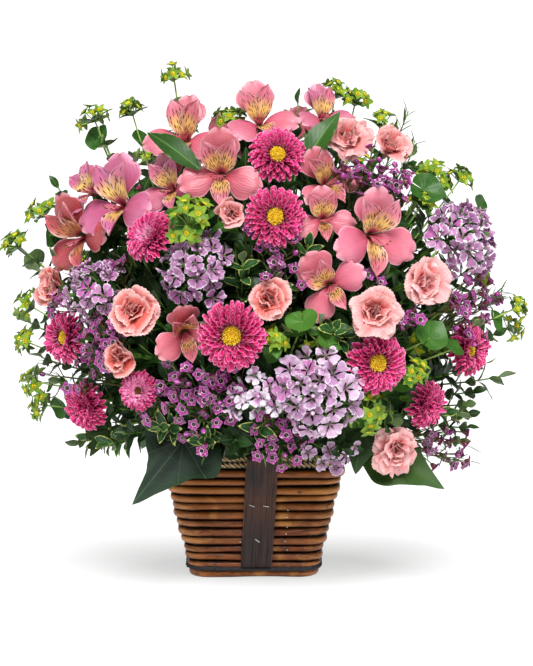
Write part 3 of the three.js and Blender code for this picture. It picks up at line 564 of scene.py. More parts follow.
def make_effects():
    graph, _, out = effect_group("growth_marks", {}, ["Across", "Side", "Along", "Draw", "Under"])
    across, along, draw = graph.parts(graph.attribute("mark", "Vector"))
    under = graph.attribute("under", "Fac")
    for value, socket in zip((across, graph.size(across), along, draw, under), out):
        graph.put(value, socket)

    graph, given, out = effect_group("veins", {"Lines": 9, "Waver": 0.4, "Spread": 0.6}, ["Vein"])
    across, along, _ = graph.parts(graph.attribute("mark", "Vector"))
    seat = graph.combine(across, graph.times(along, 2.0), 0.0)
    sway = graph.times(graph.noise(seat, 3.0), given["Waver"])
    phase = graph.times(graph.plus(across, sway), given["Lines"])
    graph.put(graph.span(graph.size(graph.math("SINE", phase)), given["Spread"], 1.0), out["Vein"])

    graph, given, out = effect_group("mottle", {"Scale": 300, "Low": 0.35, "High": 0.65}, ["Spot"])
    found = graph.noise(graph.place(), given["Scale"], detail=3.0)
    graph.put(graph.span(found, given["Low"], given["High"]), out["Spot"])

    graph, given, out = effect_group("long_grain", {"Length": 8, "Lines": 3}, ["Grain"])
    across, along, draw = graph.parts(graph.attribute("mark", "Vector"))
    seat = graph.combine(
        graph.times(along, given["Length"]), graph.times(across, given["Lines"]), graph.times(draw, 40.0)
    )
    graph.put(graph.span(graph.noise(seat, 1.0, detail=5.0, distortion=0.6), 0.3, 0.7), out["Grain"])


FINISHES = {}


class Finish(Graph):
    """A new material. What is the same all over it is set on its shader."""

    def __init__(self, name, roughness, **constants):
        made = bpy.data.materials.new(name)
        made.use_nodes = True
        FINISHES[name] = made
        super().__init__(made.node_tree)
        self.shader = made.node_tree.nodes["Principled BSDF"].inputs
        for socket, value in {"Roughness": roughness, **constants}.items():
            self.shader[socket.replace("_", " ")].default_value = value

    def marks(self):
        return self.effect("growth_marks")

    def paint(self, colour):
        self.put(colour, self.shader["Base Color"])

    def relief(self, height, depth):
        """Bump from a height of 0 to 1, by its real depth in millimetres."""
        node = self.node("Bump")
        self.put(height, node.inputs["Height"])
        node.inputs["Distance"].default_value = depth * MM
        self.put(node.outputs[0], self.shader["Normal"])


PETAL_GLOW = dict(Subsurface_Weight=0.1, Subsurface_Scale=0.0012, Sheen_Weight=0.04)
LEAF_GLOW = dict(Subsurface_Weight=0.05, Subsurface_Scale=0.001, Specular_IOR_Level=0.3)


def petal_colour(graph, marks, root, body, edge, edge_from):
    """From the root's colour to the body's, and to a pale edge all round."""
    colour = graph.mix(graph.span(marks["Along"], 0.05, 0.55), root, body)
    rim = graph.most(marks["Side"], marks["Along"])
    rim = graph.plus(rim, graph.times(graph.noise(graph.place(), 500.0), 0.08))
    return graph.mix(graph.span(rim, edge_from, 1.03), colour, edge)


def make_aster_finishes():
    graph = Finish("aster_ray", 0.45, Specular_IOR_Level=0.3)
    marks = graph.marks()
    bright = graph.mix(marks["Draw"], "D01262", "F64296")
    # Dark where each ray comes out from under the tier above: painted shade between the rays.
    colour = graph.mix(graph.span(marks["Along"], 0.35, 0.85), "5E0228", bright)
    # Pale at the sides and tip: partly the rays' own pale edge, partly painted highlight.
    side = graph.times(graph.span(marks["Side"], 0.72, 1.0), graph.span(marks["Along"], 0.3, 0.7))
    rim = graph.most(side, graph.span(marks["Along"], 0.93, 1.0))
    colour = graph.tint(colour, "FFB4DA", rim, 0.8)
    graph.paint(graph.tint(colour, "E0589C", marks["Under"], 0.5))
    graph.relief(graph.effect("veins", Lines=8.0), 0.12)

    graph = Finish("aster_inner_ray", 0.45, Sheen_Weight=0.03)
    marks = graph.marks()
    colour = graph.mix(graph.span(marks["Along"], 0.3, 1.0), "FBD2E4", "E468A6")
    graph.paint(graph.tint(colour, "F6C6DA", marks["Under"], 0.8))

    graph = Finish("aster_disc", 0.6)
    marks = graph.marks()
    colour = graph.mix(marks["Draw"], "E8B010", "FFE636")
    graph.paint(graph.mix(graph.span(marks["Along"], 0.2, 0.8), "8A5A04", colour))


def make_carnation_finish():
    graph = Finish("carnation_petal", 0.55, **PETAL_GLOW)
    marks = graph.marks()
    body = graph.mix(marks["Draw"], "D46C64", "F4BCC0")
    # Deeper coral towards the root: partly the petals' own colour, partly painted shade in the throat.
    deep = graph.mix(graph.span(marks["Along"], 0.4, 0.9), "D64632", body)
    colour = petal_colour(graph, marks, "A82818", deep, "F3C0BC", 0.88)
    vein = graph.effect("veins", Lines=16.0)
    graph.paint(graph.tint(colour, "E4705F", vein, 0.22))
    graph.relief(vein, 0.15)


def make_dianthus_finishes():
    for name, low, high in (
        ("dianthus_petal", "8A4E84", "CC94BC"),
        ("dianthus_pale_petal", "B68AB2", "E8CEE0"),
        ("dianthus_white_petal", "E4D6E6", "F6F0F5"),
    ):
        graph = Finish(name, 0.55, **PETAL_GLOW)
        marks = graph.marks()
        tint = graph.mix(marks["Draw"], low, high)
        tint = graph.mix(graph.span(marks["Draw"], 0.9, 0.93, 0.0, 0.8), tint, "B8479F")
        tint = graph.tint(tint, "B982B4", graph.effect("mottle", Scale=420.0), 0.4)
        colour = petal_colour(graph, marks, "A8609A", tint, "EEDCEA", 0.9)
        streak = graph.effect("veins", Lines=9.0, Waver=1.2, Spread=0.7)
        colour = graph.tint(colour, "96448A", streak, graph.fall(marks["Along"], 0.3, 0.85, 0.5))
        graph.paint(graph.mix(graph.fall(marks["Along"], 0.02, 0.12, 0.6), colour, "5E2250"))
        graph.relief(streak, 0.1)


def dashes(graph, marks, lines, pace, size):
    """Scattered dashes: how many there are across and along a petal, and how long they are."""
    wide, long = graph.times(marks["Across"], lines), graph.times(marks["Along"], pace)
    seat = graph.combine(wide, long, graph.times(marks["Draw"], 30.0))
    cells = graph.node("TexVoronoi")
    graph.put(seat, cells.inputs["Vector"])
    cells.inputs["Scale"].default_value = 1.0
    cells.inputs["Randomness"].default_value = 0.85
    offset = graph.node("VectorMath", operation="SUBTRACT")
    x, y, _ = graph.parts(graph.fill(offset, seat, cells.outputs["Position"]))
    reach = graph.plus(graph.times(graph.size(x), 1.9), graph.size(y))
    return graph.fall(reach, size, size + 0.08)


def alstroemeria_pink(graph, marks):
    """Salmon to orchid by bloom, with a red throat, fine darker veins and a pale edge."""
    # The draw comes from the tones table, so its darker salmon red also carries painted shade.
    warm, cool = graph.span(marks["Draw"], 0.0, 0.4), graph.span(marks["Draw"], 0.4, 1.0)
    body = graph.mix(cool, graph.mix(warm, "982A30", "D26076"), "9C3E74")
    light = graph.mix(cool, graph.mix(warm, "BE504E", "EC98A8"), "C674A6")
    cloud = graph.span(graph.effect("mottle", Scale=90.0), 0.0, 1.0, 0.55, 1.0)
    colour = graph.mix(graph.times(graph.span(marks["Along"], 0.4, 0.95), cloud), body, light)
    colour = graph.tint(colour, "B84A5E", graph.effect("veins", Lines=20.0, Waver=0.25), 0.16)
    colour = graph.mix(graph.fall(marks["Along"], 0.12, 0.4, 0.9), colour, "9A2634")
    rim = graph.span(graph.most(marks["Side"], marks["Along"]), 0.88, 1.0, 0.0, 0.5)
    colour = graph.mix(rim, colour, "FAC6D0")
    return graph.tint(colour, "CF5C70", marks["Under"], 0.3)


def make_alstroemeria_finishes():
    graph = Finish("alstroemeria_outer_petal", 0.4, Coat_Weight=0.05, **PETAL_GLOW)
    marks = graph.marks()
    tip = graph.times(graph.span(marks["Along"], 0.82, 0.99), graph.fall(marks["Side"], 0.06, 0.3))
    graph.paint(graph.tint(alstroemeria_pink(graph, marks), "9C2C38", tip, 0.8))
    graph.relief(graph.effect("veins", Lines=20.0, Waver=0.25), 0.12)

    graph = Finish("alstroemeria_inner_petal", 0.4, Coat_Weight=0.05, **PETAL_GLOW)
    marks = graph.marks()
    edges = graph.times(graph.span(marks["Side"], 0.6, 0.95), graph.fall(marks["Along"], 0.5, 0.8, 0.8))
    colour = graph.mix(edges, alstroemeria_pink(graph, marks), "F9DCCB")
    middle = graph.span(marks["Side"], 0.5, 1.0, 1.0, 0.25)
    blaze = graph.times(middle, graph.band(marks["Along"], 0.26, 0.4, 0.5, 0.72))
    gold = graph.mix(graph.span(marks["Draw"], 0.08, 0.34), "C67E42", "F2CC68")
    colour = graph.tint(colour, gold, blaze, 0.85)
    inner = graph.band(marks["Along"], 0.24, 0.32, 0.66, 0.74)
    dash = graph.times(dashes(graph, marks, 4.2, 6.0, 0.36), inner)
    above = graph.band(marks["Along"], 0.66, 0.7, 0.84, 0.9, 0.9)
    streak = graph.times(dashes(graph, marks, 2.6, 4.2, 0.26), above)
    graph.paint(graph.mix(graph.most(dash, streak), colour, "480F1C"))
    graph.relief(graph.effect("veins", Lines=14.0, Waver=0.2), 0.12)

    graph = Finish("alstroemeria_stamen", 0.5)
    graph.paint(graph.mix(graph.marks()["Along"], "B43A4C", "E88A9C"))


def make_waxflower_finishes():
    graph = Finish("waxflower_petal", 0.32, Coat_Weight=0.15, **PETAL_GLOW)
    marks = graph.marks()
    body = graph.mix(marks["Draw"], "7E1464", "B2449E")
    graph.paint(petal_colour(graph, marks, "6A1050", body, "D692C8", 0.86))

    graph = Finish("waxflower_cup", 0.25, Coat_Weight=0.4)
    along = graph.marks()["Along"]
    colour = graph.mix(graph.span(along, 0.45, 0.66), "6A3038", "E0B4D6")
    graph.paint(graph.mix(graph.span(along, 0.68, 0.76), colour, "38060F"))

    graph = Finish("waxflower_twig", 0.55)
    tint = graph.mix(graph.effect("mottle", Scale=260.0), "6B3A22", "5E7A2E")
    graph.paint(graph.tint(tint, "3E4F1E", graph.marks()["Draw"], 0.4))


def fan_veins(graph, marks, lobes, width):
    """Veins that run from the stalk in the directions of the lobes, as shares of half a turn."""
    veins = 0.0
    thin = graph.math("DIVIDE", width, graph.plus(marks["Along"], 0.1))
    for lobe in lobes:
        near = graph.size(graph.math("SUBTRACT", marks["Side"], lobe))
        veins = graph.most(veins, graph.rest(graph.math("DIVIDE", near, thin)))
    return veins


def side_veins(graph, marks, along_pace, side_pace, waver, waver_scale, width, strength):
    """Veins that leave the midrib at a slant."""
    slant = graph.plus(graph.times(marks["Along"], along_pace), graph.times(marks["Side"], side_pace))
    slant = graph.plus(slant, graph.times(graph.noise(graph.place(), waver_scale), waver))
    return graph.fall(graph.size(graph.math("SINE", slant)), 0.0, width, strength)


# Leaves: darkest and lightest colour, the veins' colour and strength, roughness.
LEAF_COLOURS = {
    "lance_leaf": ("102E0C", "345E1C", "6E9A48", 0.5, 0.42),
    "edged_leaf": ("123818", "2C5C2A", "5F8A4A", 0.5, 0.42),
    "round_leaf": ("1E4A17", "4A7C2A", "8EB45C", 0.2, 0.5),
    "filler_leaf": ("081A06", "1C4010", "4A7430", 0.4, 0.45),
    "bract_leaf": ("47761C", "96B634", "C8E07A", 0.3, 0.5),
    "calyx_leaf": ("2A4E18", "527E32", "8CB060", 0.3, 0.42),
    "needle_leaf": ("24491A", "4C7A30", "7CA050", 0.2, 0.42),
}


def make_leaf_finishes():
    for name, (deep, light, vein_colour, vein_share, roughness) in LEAF_COLOURS.items():
        graph = Finish(name, roughness, Coat_Weight=0.06, **LEAF_GLOW)
        marks = graph.marks()
        colour = graph.mix(marks["Draw"], deep, light)
        colour = graph.tint(colour, light, graph.effect("mottle", Scale=180.0), 0.45)
        if name == "round_leaf":
            veins = fan_veins(graph, marks, (0, 0.2, 0.42, 0.66, 0.9), 0.008)
        else:
            ribs = side_veins(graph, marks, 9.0 * math.pi, -2.4 * math.pi, 0.8 * math.pi, 120.0, 0.16, 0.6)
            veins = graph.most(graph.fall(marks["Side"], 0.03, 0.12), ribs)
        colour = graph.tint(colour, vein_colour, veins, vein_share)
        if name == "edged_leaf":
            wander = graph.times(graph.noise(graph.place(), 260.0), 0.5)
            rim = graph.plus(graph.most(marks["Side"], marks["Along"]), wander)
            colour = graph.mix(graph.span(rim, 1.1, 1.17), colour, "D6DC7E")
        graph.paint(graph.tint(colour, "8CA070", marks["Under"], 0.5))
        graph.relief(graph.rest(veins), 0.25)


def make_large_leaf_finish():
    """Thin pale veins fan out from the stalk into the lobes, on a deep blue green."""
    graph = Finish("large_leaf", 0.58, **LEAF_GLOW)
    marks = graph.marks()
    colour = graph.mix(graph.effect("mottle", Scale=60.0), "051009", "0D2415")
    colour = graph.tint(colour, "42641E", marks["Draw"], 0.8)
    # Lighter towards the leaf's outer edge: a painted sheen.
    colour = graph.mix(graph.span(marks["Along"], 0.6, 1.0, 0.0, 0.4), colour, "1E421E")
    ribs = side_veins(graph, marks, 15.0, -27.0, 4.8, 60.0, 0.1, 0.45)
    veins = graph.most(fan_veins(graph, marks, (0.0, 0.18, 0.38, 0.62), 0.0045), ribs)
    colour = graph.tint(colour, "6A9464", veins, 0.32)
    graph.paint(graph.tint(colour, "6E8C62", marks["Under"], 0.5))
    graph.relief(graph.rest(veins), 0.25)


def make_stem_finishes():
    for name, low, high in (
        ("green_stem", "3F6E22", "7FA846"),
        ("pale_stem", "86A84A", "B6CF74"),
        ("umbel_flower", "C9B40A", "F2E63C"),
    ):
        graph = Finish(name, 0.5, **LEAF_GLOW)
        tint = graph.mix(graph.effect("mottle", Scale=220.0), low, high)
        graph.paint(graph.tint(tint, low, graph.marks()["Draw"], 0.4))


def make_basket_finishes():
    # The rods' stain and grain, with painted shade in the grooves and painted highlights at the corners and
    # in light patches.
    graph = Finish("rod_stain_and_painted_light", 0.45, Coat_Weight=0.12, Coat_Roughness=0.25, Specular_IOR_Level=0.25)
    marks = graph.marks()
    grain = graph.effect("long_grain", Length=46.0, Lines=5.0)
    colour = graph.mix(grain, "220803", "984C16")
    colour = graph.tint(colour, "5A260E", graph.effect("mottle", Scale=45.0), 0.5)
    # Lighter by each rod's tone, which also carries painted shade on the lower rods.
    colour = graph.tint(colour, "B87430", marks["Draw"], 0.55)
    # Light random patches: partly wear, partly painted highlight.
    worn = graph.effect("mottle", Scale=38.0, Low=0.54, High=0.68)
    colour = graph.tint(colour, "DC9C50", worn, 0.55)
    # Lighter near the rods' corners: partly wear, partly a painted highlight.
    side = graph.math("FRACT", graph.times(marks["Along"], 4.0))
    corner = graph.fall(graph.size(graph.math("SUBTRACT", side, 0.1)), 0.03, 0.13, 0.6)
    colour = graph.tint(colour, "D8935A", corner, grain)
    # Dark above and below each rod's outer face, to near black where the rods meet: painted shade in the
    # grooves between the rods.
    below, above = graph.fall(marks["Across"], -0.4, -0.14), graph.span(marks["Across"], 0.1, 0.42)
    gap = graph.plus(below, above, clamp=True)
    colour = graph.tint(colour, "0A0302", gap, 0.96)
    knot = graph.effect("mottle", Scale=140.0, Low=0.66, High=0.72)
    graph.paint(graph.tint(colour, "260C06", knot, 0.7))
    graph.put(graph.span(grain, 0.0, 1.0, 0.5, 0.3), graph.shader["Roughness"])
    graph.relief(grain, 0.25)

    graph = Finish("rim_cord", 0.75, Sheen_Weight=0.1)
    fibre = graph.effect("long_grain", Length=90.0, Lines=6.0)
    soiled = graph.effect("mottle", Scale=60.0)
    colour = graph.tint(graph.mix(fibre, "82602F", "E6C898"), "5E3A1E", soiled, 0.5)
    # Near black on the strands' sides away from the outer face: painted shade in the gaps between the
    # strands.
    graph.paint(graph.mix(graph.span(graph.marks()["Side"], 0.12, 0.28, 0.0, 0.97), colour, "0C0603"))
    graph.relief(fibre, 0.3)

    graph = Finish("dark_binding", 0.6)
    fibre = graph.effect("long_grain", Length=120.0, Lines=5.0)
    graph.paint(graph.mix(fibre, "0A090C", "35333E"))
    graph.relief(fibre, 0.25)

    graph = Finish("slat_wood", 0.6, Specular_IOR_Level=0.3)
    marks = graph.marks()
    grain = graph.effect("long_grain", Length=2.2, Lines=16.0)
    warm = graph.times(graph.effect("mottle", Scale=26.0), graph.span(marks["Along"], 0.2, 0.8, 0.1, 0.7))
    colour = graph.tint(graph.mix(grain, "0E0A0B", "3C2F2E"), "7A4628", warm, grain)
    worn = graph.times(graph.span(marks["Side"], 0.93, 1.0), graph.effect("mottle", Scale=160.0))
    graph.paint(graph.tint(colour, "7E5A40", worn, 0.6))
    graph.relief(grain, 0.4)


# Finishes that vary between two colours only: the scale of the spots, roughness, depth of relief.
SPOTTED_FINISHES = {
    "aster_eye": ("4A1E0E", "9C5B22", 900.0, 0.7, 0),
    "alstroemeria_anther": ("54301C", "8A6A3C", 1200.0, 0.7, 0),
    "staple_metal": ("B8B4AC", "E8E6E0", 700.0, 0.3, 0),
    "board_wood": ("3E2012", "70402A", 90.0, 0.6, 0.3),
    "liner_plastic": ("20261F", "343E33", 40.0, 0.45, 0.1),
    "foam_cells": ("1C3A22", "3F6E44", 1400.0, 0.95, 0.5),
}


def make_spotted_finishes():
    for name, (low, high, scale, roughness, depth) in SPOTTED_FINISHES.items():
        graph = Finish(name, roughness, Metallic=1.0 if name == "staple_metal" else 0.0)
        spot = graph.effect("mottle", Scale=scale)
        graph.paint(graph.mix(spot, low, high))
        if depth:
            graph.relief(spot, depth)


# ---------------------------------------------------------------- blooms
def radial_frame(matrix, around, radius, height):
    """The frame of a petal that grows out of the bloom's axis in one direction."""
    return matrix @ turned_about_z(around - 90) @ moved(0, radius, height)


# Tiers of rays: reach, rise at the root, rise at the tip, count.
ASTER_TIERS = [
    (1.0, 2, -10, 27), (0.95, 12, 4, 26), (0.87, 22, 16, 25), (0.79, 32, 28, 24),
    (0.7, 40, 40, 22), (0.6, 47, 52, 20), (0.5, 52, 58, 18), (0.41, 54, 62, 17),
]
DISC_SHARE = 0.29                # of the bloom's radius
# The asters whose rays still close over the disc, and the finish of those rays.
CLOSED_ASTERS = {
    "aster_upper_left": "aster_inner_ray", "aster_low_left": "aster_ray", "aster_low_right": "aster_ray",
}


def ray_width(along):
    return 0.5 + 0.5 * smooth(along, 0, 0.6) - 0.3 * smooth(along, 0.9, 1.0)


def add_aster(name, row, seed):
    radius, matrix = bloom_place(*row)
    rng = np.random.default_rng(seed)
    piece = Piece(name + "_bloom")
    small = name == "aster_small"
    along, across = grid(7, 5)
    for tier, (reach, root_rise, tip_rise, count) in enumerate(ASTER_TIERS):
        inner = small and tier >= 3
        for i in range(count):
            around = 360 * (i + 0.5 * (tier % 2)) / count + rng.normal(0, 3)
            rise = np.linspace(root_rise, tip_rise, 7) + rng.normal(0, 5)
            length = (reach - DISC_SHARE) * radius * rng.normal(1.03, 0.04) / np.cos(np.radians(rise)).mean()
            width = 0.082 * radius * rng.normal(1, 0.09) * ray_width(along[:, 0])
            cup = rng.uniform(0.7, 1.3) * cupped(width, across)
            place = radial_frame(matrix, around, (DISC_SHARE - 0.01) * radius, 0.012 * radius * tier)
            arc = -0.7 * cupped(width, across) * smooth(along, 0.6, 1)
            sheet(piece, place, "aster_inner_ray" if inner else "aster_ray", bent(length, rise), width,
                  rng.random(), lift=cup, slide=arc, thickness=0.4)
    if small or name in CLOSED_ASTERS:
        add_aster_heart(piece, matrix, radius, CLOSED_ASTERS.get(name, "aster_inner_ray"), 0.3 * small, rng)
    if name not in CLOSED_ASTERS:
        add_aster_disc(piece, matrix, radius * (0.6 if small else 1), small, rng)
    add_aster_back(piece, matrix, radius, rng)
    piece.build(name, "aster")


def add_aster_heart(piece, matrix, radius, finish_name, hollow, rng):
    """Short rays that stand up over the disc of a bloom that isn't fully open."""
    along, across = grid(6, 5)
    count = 46
    for i in range(count):
        share = math.sqrt(hollow + (1 - hollow) * (i + 0.5) / count)
        place = radial_frame(matrix, GOLDEN_ANGLE * i, 0.3 * share * radius, 0)
        width = 0.07 * radius * rng.normal(1, 0.1) * ray_width(along[:, 0])
        rise = np.linspace(88, 92 - 44 * share, 6) + rng.normal(0, 7)
        sheet(piece, place, finish_name, bent(radius * rng.uniform(0.36, 0.46), rise), width, rng.random(),
              lift=-1.1 * cupped(width, across), thickness=0.4)


def add_aster_disc(piece, matrix, radius, small, rng):
    disc = DISC_SHARE * radius
    tone = "aster_eye" if small else "aster_disc"
    profile = [(disc, 0), (disc, 0.05 * radius), (0.7 * disc, 0.12 * radius), (0.2, 0.13 * radius)]
    turned(piece, matrix, tone, profile, 0.2, 18)
    count = 110
    for i in range(count):
        share = math.sqrt((i + 0.5) / count)
        turn = math.radians(i * GOLDEN_ANGLE)
        height = radius * (0.14 - 0.07 * share**2 - 0.03 * (share < 0.18))
        spot = spun(turn, disc * share, height)
        size = disc * (0.075 + 0.04 * share) * rng.uniform(0.8, 1.25)
        lean = np.array([spot[0] / disc, spot[1] / disc, 1.2]) + rng.normal(0, 0.25, 3)
        bead(piece, carried(spot, matrix), size, tone, rng.uniform(0.2, 1), matrix[:3, :3] @ lean, 2.6)


def add_aster_back(piece, matrix, radius, rng):
    """The green base under the rays, with leafy bracts in two rows."""
    wide = 0.2 * radius
    base = [(2.2, -0.42 * radius), (3.2, -0.34 * radius), (wide, -0.16 * radius), (wide, 0.02 * radius)]
    turned(piece, matrix, "calyx_leaf", base, 0.4, 12)
    along, across = grid(6, 5)
    for i in range(20):
        height = -0.2 * radius + 0.08 * radius * (i % 2)
        place = radial_frame(matrix, 18 * i + rng.normal(0, 4), 0.15 * radius, height)
        width = 0.085 * radius * pointed(along, 0.08, 0.7, high=0.97)
        rise = np.linspace(-10, -46, 6) + rng.normal(0, 9) + 26 * (i % 2)
        sheet(piece, place, "calyx_leaf", bent(rng.uniform(0.4, 0.62) * radius, rise), width, rng.random(),
              lift=0.12 * cupped(width, across))


# Rings of petals: rise at root and tip, length, half width, cup, ruffle, count.
CARNATION_RINGS = [
    (70, -18, 1.54, 0.64, -0.06, 0.06, 5), (75, 4, 1.42, 0.58, 0.0, 0.085, 5),
    (80, 34, 1.28, 0.52, 0.08, 0.11, 4), (84, 58, 1.16, 0.45, 0.14, 0.17, 4),
    (88, 74, 1.04, 0.4, 0.22, 0.21, 4), (90, 88, 0.92, 0.34, 0.26, 0.24, 3),
]
GUARD_PETALS = (66, -30, 1.6, 0.46, -0.04, 0.09, 4)   # a first ring on one side of an open bloom


def add_carnation(name, row, seed):
    radius, matrix = bloom_place(*row)
    rng = np.random.default_rng(seed)
    piece = Piece(name + "_bloom")
    opened = OPENNESS.get(name, 1.0)
    along, across = grid(11, 21)
    blade = smooth(along[:, 0], 0.14, 0.68)
    teeth = np.where(np.arange(21) % 2, 1.0, -0.6) * smooth(along, 0.94, 1.0)
    favoured = rng.uniform(200, 340)
    guarded = opened > 0.7
    rings = [GUARD_PETALS] * guarded + CARNATION_RINGS
    for ring, (root, tip, length, width, cup, ruffle, count) in enumerate(rings):
        for i in range(count):
            around = 360 * (i + 0.5 * (ring % 2)) / count + rng.normal(0, 16)
            if guarded and ring == 0:
                around = favoured + 62 * (i - 1.5) + rng.normal(0, 10)
            tip_rise = tip + (84 - tip) * (1 - opened) + rng.normal(0, 10)
            rise = root + (tip_rise - root) * smooth(along[:, 0], 0.28, 0.95)
            half = width * radius * rng.normal(1, 0.11) * (0.13 + 0.87 * blade)
            paces = ((rng.uniform(0.8, 1.3), 1.1), (rng.uniform(1.7, 2.4), 0.7), (5.0, 0.16))
            waves = sum(
                strength * np.sin(math.pi * (pace * across + rng.uniform(0, 2))) for pace, strength in paces
            )
            lift = radius * (cup * across**2 * blade[:, None] + ruffle * waves * smooth(along, 0.35, 1))
            slide = radius * (-0.3 * across**2 * smooth(along, 0.35, 1) + 0.024 * teeth)
            place = radial_frame(matrix, around, rng.uniform(0.0, 0.14) * radius, -0.5 * radius)
            reach = length * radius * rng.normal(0.93, 0.06)
            reach *= 1 - 0.9 * (1 - opened) * guarded
            reach *= 1 + 0.1 * opened * math.cos(math.radians(around - favoured)) * (ring < 2)
            tone = float(np.clip(BLUSH_AND_SHADE.get(name, 0.6) + rng.normal(0, 0.14), 0, 1))
            sheet(piece, place, "carnation_petal", bent(reach, rise), half, tone,
                  lift=lift, slide=slide, thickness=0.4)
    add_calyx(piece, matrix, radius, opened, rng)
    piece.build(name, "carnation")


def add_calyx(piece, matrix, radius, opened, rng):
    """The green cup under the petals, with five teeth."""
    wide = 0.2 * radius + 0.8
    foot, shoulder = (wide * 0.8, -0.72 * radius), (wide, -0.4 * radius)
    profile = [(1.6, -0.8 * radius), foot, shoulder, (wide * 1.05, -0.12 * radius)]
    turned(piece, matrix, "calyx_leaf", profile, 0.5, 12)
    along, across = grid(6, 5)
    for i in range(5):
        place = radial_frame(matrix, 72 * i + 20, wide * 0.95, -0.2 * radius)
        width = 0.15 * radius * np.clip(1.05 - along[:, 0] ** 1.3, 0.05, 1)
        rise = np.linspace(80, 80 - 26 * opened, 6) + rng.normal(0, 3)
        sheet(piece, place, "calyx_leaf", bent(0.34 * radius, rise), width, rng.random(),
              lift=-0.3 * cupped(width, across), thickness=0.6)


def add_floret(piece, matrix, radius, petal_finish, rng):
    """A small flower of five fan-shaped petals with toothed edges."""
    along, across = grid(7, 9)
    fan = 0.12 + 0.88 * smooth(along[:, 0], 0.22, 0.78)
    teeth = np.where(np.arange(9) % 2, 1.0, -0.7) * smooth(along, 0.86, 1.0)
    draw = rng.random()
    for i in range(5):
        rise = np.linspace(50, rng.normal(-4, 16), 7)
        half = 0.41 * radius * rng.normal(1, 0.1) * fan
        wave = 0.08 * radius * np.sin(math.pi * (1.8 * across + rng.uniform(0, 2))) * smooth(along, 0.3, 1)
        lift = wave + rng.uniform(-0.15, 0.25) * radius * across**2 * fan[:, None]
        slide = radius * (-0.13 * across**2 * smooth(along, 0.4, 1) + 0.04 * teeth)
        place = radial_frame(matrix, 72 * i + rng.normal(0, 6), 0.04 * radius, -0.16 * radius)
        sheet(piece, place, petal_finish, bent(1.04 * radius * rng.normal(1, 0.05), rise), half,
              np.clip(draw + rng.normal(0, 0.1), 0, 1), lift=lift, slide=slide, thickness=0.3)
    tube_profile = [(0.9, -0.9 * radius), (1.5, -0.75 * radius), (1.7, -0.2 * radius), (0.8, -0.12 * radius)]
    turned(piece, matrix, "calyx_leaf", tube_profile, draw, 8)
    for i in range(2):
        tip = carried(np.array([0.07 * radius * (2 * i - 1), 0.03 * radius, 0.2 * radius]), matrix)
        style = bow(on_axis(matrix, -0.2 * radius), tip, matrix[:3, 2], matrix[:3, 2], 4)
        tube(piece, style, 0.22, "pale_stem", sides=4)


def add_bud(piece, root, tip, radius, petal_finish, rng):
    """A closed floret: a green tube with a folded tip of petals."""
    place = frame_at(tip, unit(tip - root))
    petals = radius * np.array([(0.7, -1.2), (1, 0), (0.85, 0.7), (0.3, 1.6)])
    turned(piece, place, petal_finish, petals, rng.random(), 8)
    cup = [(0.8, -4.6 * radius), (radius * 0.85, -3.8 * radius), (radius * 0.95, -0.6 * radius)]
    turned(piece, place, "calyx_leaf", cup, 0.5, 8)


# The heads that are paler than the others.
DIANTHUS_FINISHES = {"dianthus_low_centre": "dianthus_white_petal", "dianthus_low": "dianthus_pale_petal"}


def add_dianthus(name, row, seed):
    radius, matrix = bloom_place(*row)
    rng = np.random.default_rng(seed)
    piece = Piece(name + "_head")
    loose = name == "dianthus_low_centre"
    petal_finish = DIANTHUS_FINISHES.get(name, "dianthus_petal")
    count = 6 if loose else int((0.76 if name in DIANTHUS_FINISHES else 0.68) * radius)
    floret = 10.5 if loose else 0.355 * radius
    root = on_axis(matrix, -0.25 * radius)
    stretch = rng.uniform(0.92, 1.1)
    for i in range(count):
        lean = math.acos(1 - 1.02 * (i + 0.4) / count) + rng.normal(0, 0.04)
        turn = math.radians(i * GOLDEN_ANGLE + rng.normal(0, 6))
        out = spun(turn, math.sin(lean), math.cos(lean))
        centre = out * radius * rng.uniform(0.72, 1.08) * [stretch, 1.96 - stretch, 0.84]
        tilt = unit(out + [0, 0.1, 0.25] + rng.normal(0, 0.3, 3))
        place = matrix @ frame_at(centre, tilt, rng.uniform(0, 72))
        add_floret(piece, place, floret * rng.uniform(0.78, 1.16), petal_finish, rng)
        foot = carried(centre - tilt * 0.9 * floret, matrix)
        stalk = bow(root, foot, matrix[:3, :3] @ out, matrix[:3, :3] @ tilt, 5)
        tube(piece, stalk, 0.7, "green_stem", 0.4, 5)
    for i in range(14):
        lean = rng.uniform(0.3, 1.45)
        turn = rng.uniform(0, 2 * math.pi)
        out = spun(turn, math.sin(lean), math.cos(lean))
        add_bud(piece, root, carried(out * radius * 0.92, matrix), 1.7, petal_finish, rng)
    for row in LOOSE_FLORETS.get(name, ()):
        add_loose_floret(piece, *row, petal_finish, rng)
    add_head_leaves(piece, matrix, radius, rng)
    neck = [(1.6, -0.62 * radius), (2.4, -0.5 * radius), (3.4, -0.28 * radius), (1.2, -0.18 * radius)]
    turned(piece, matrix, "green_stem", neck, 0.5, 10)
    piece.build(name, "dianthus")


# Single florets beside the two low heads: x, z, lift, size.
LOOSE_FLORETS = {
    "dianthus_low": [
        (54, 109, 6, 7.5), (65, 104, 10, 7), (73, 114, 6, 7.5), (43, 119, 6, 7), (60, 119, 4, 7),
        (80, 122, 8, 6),
    ],
    "dianthus_low_centre": [
        (1, 184, 8, 7.5), (7, 167, 12, 7), (17, 158, 10, 7.5), (13, 176, 8, 6.5), (-8, 163, 10, 7),
        (24, 168, 6, 6),
    ],
}


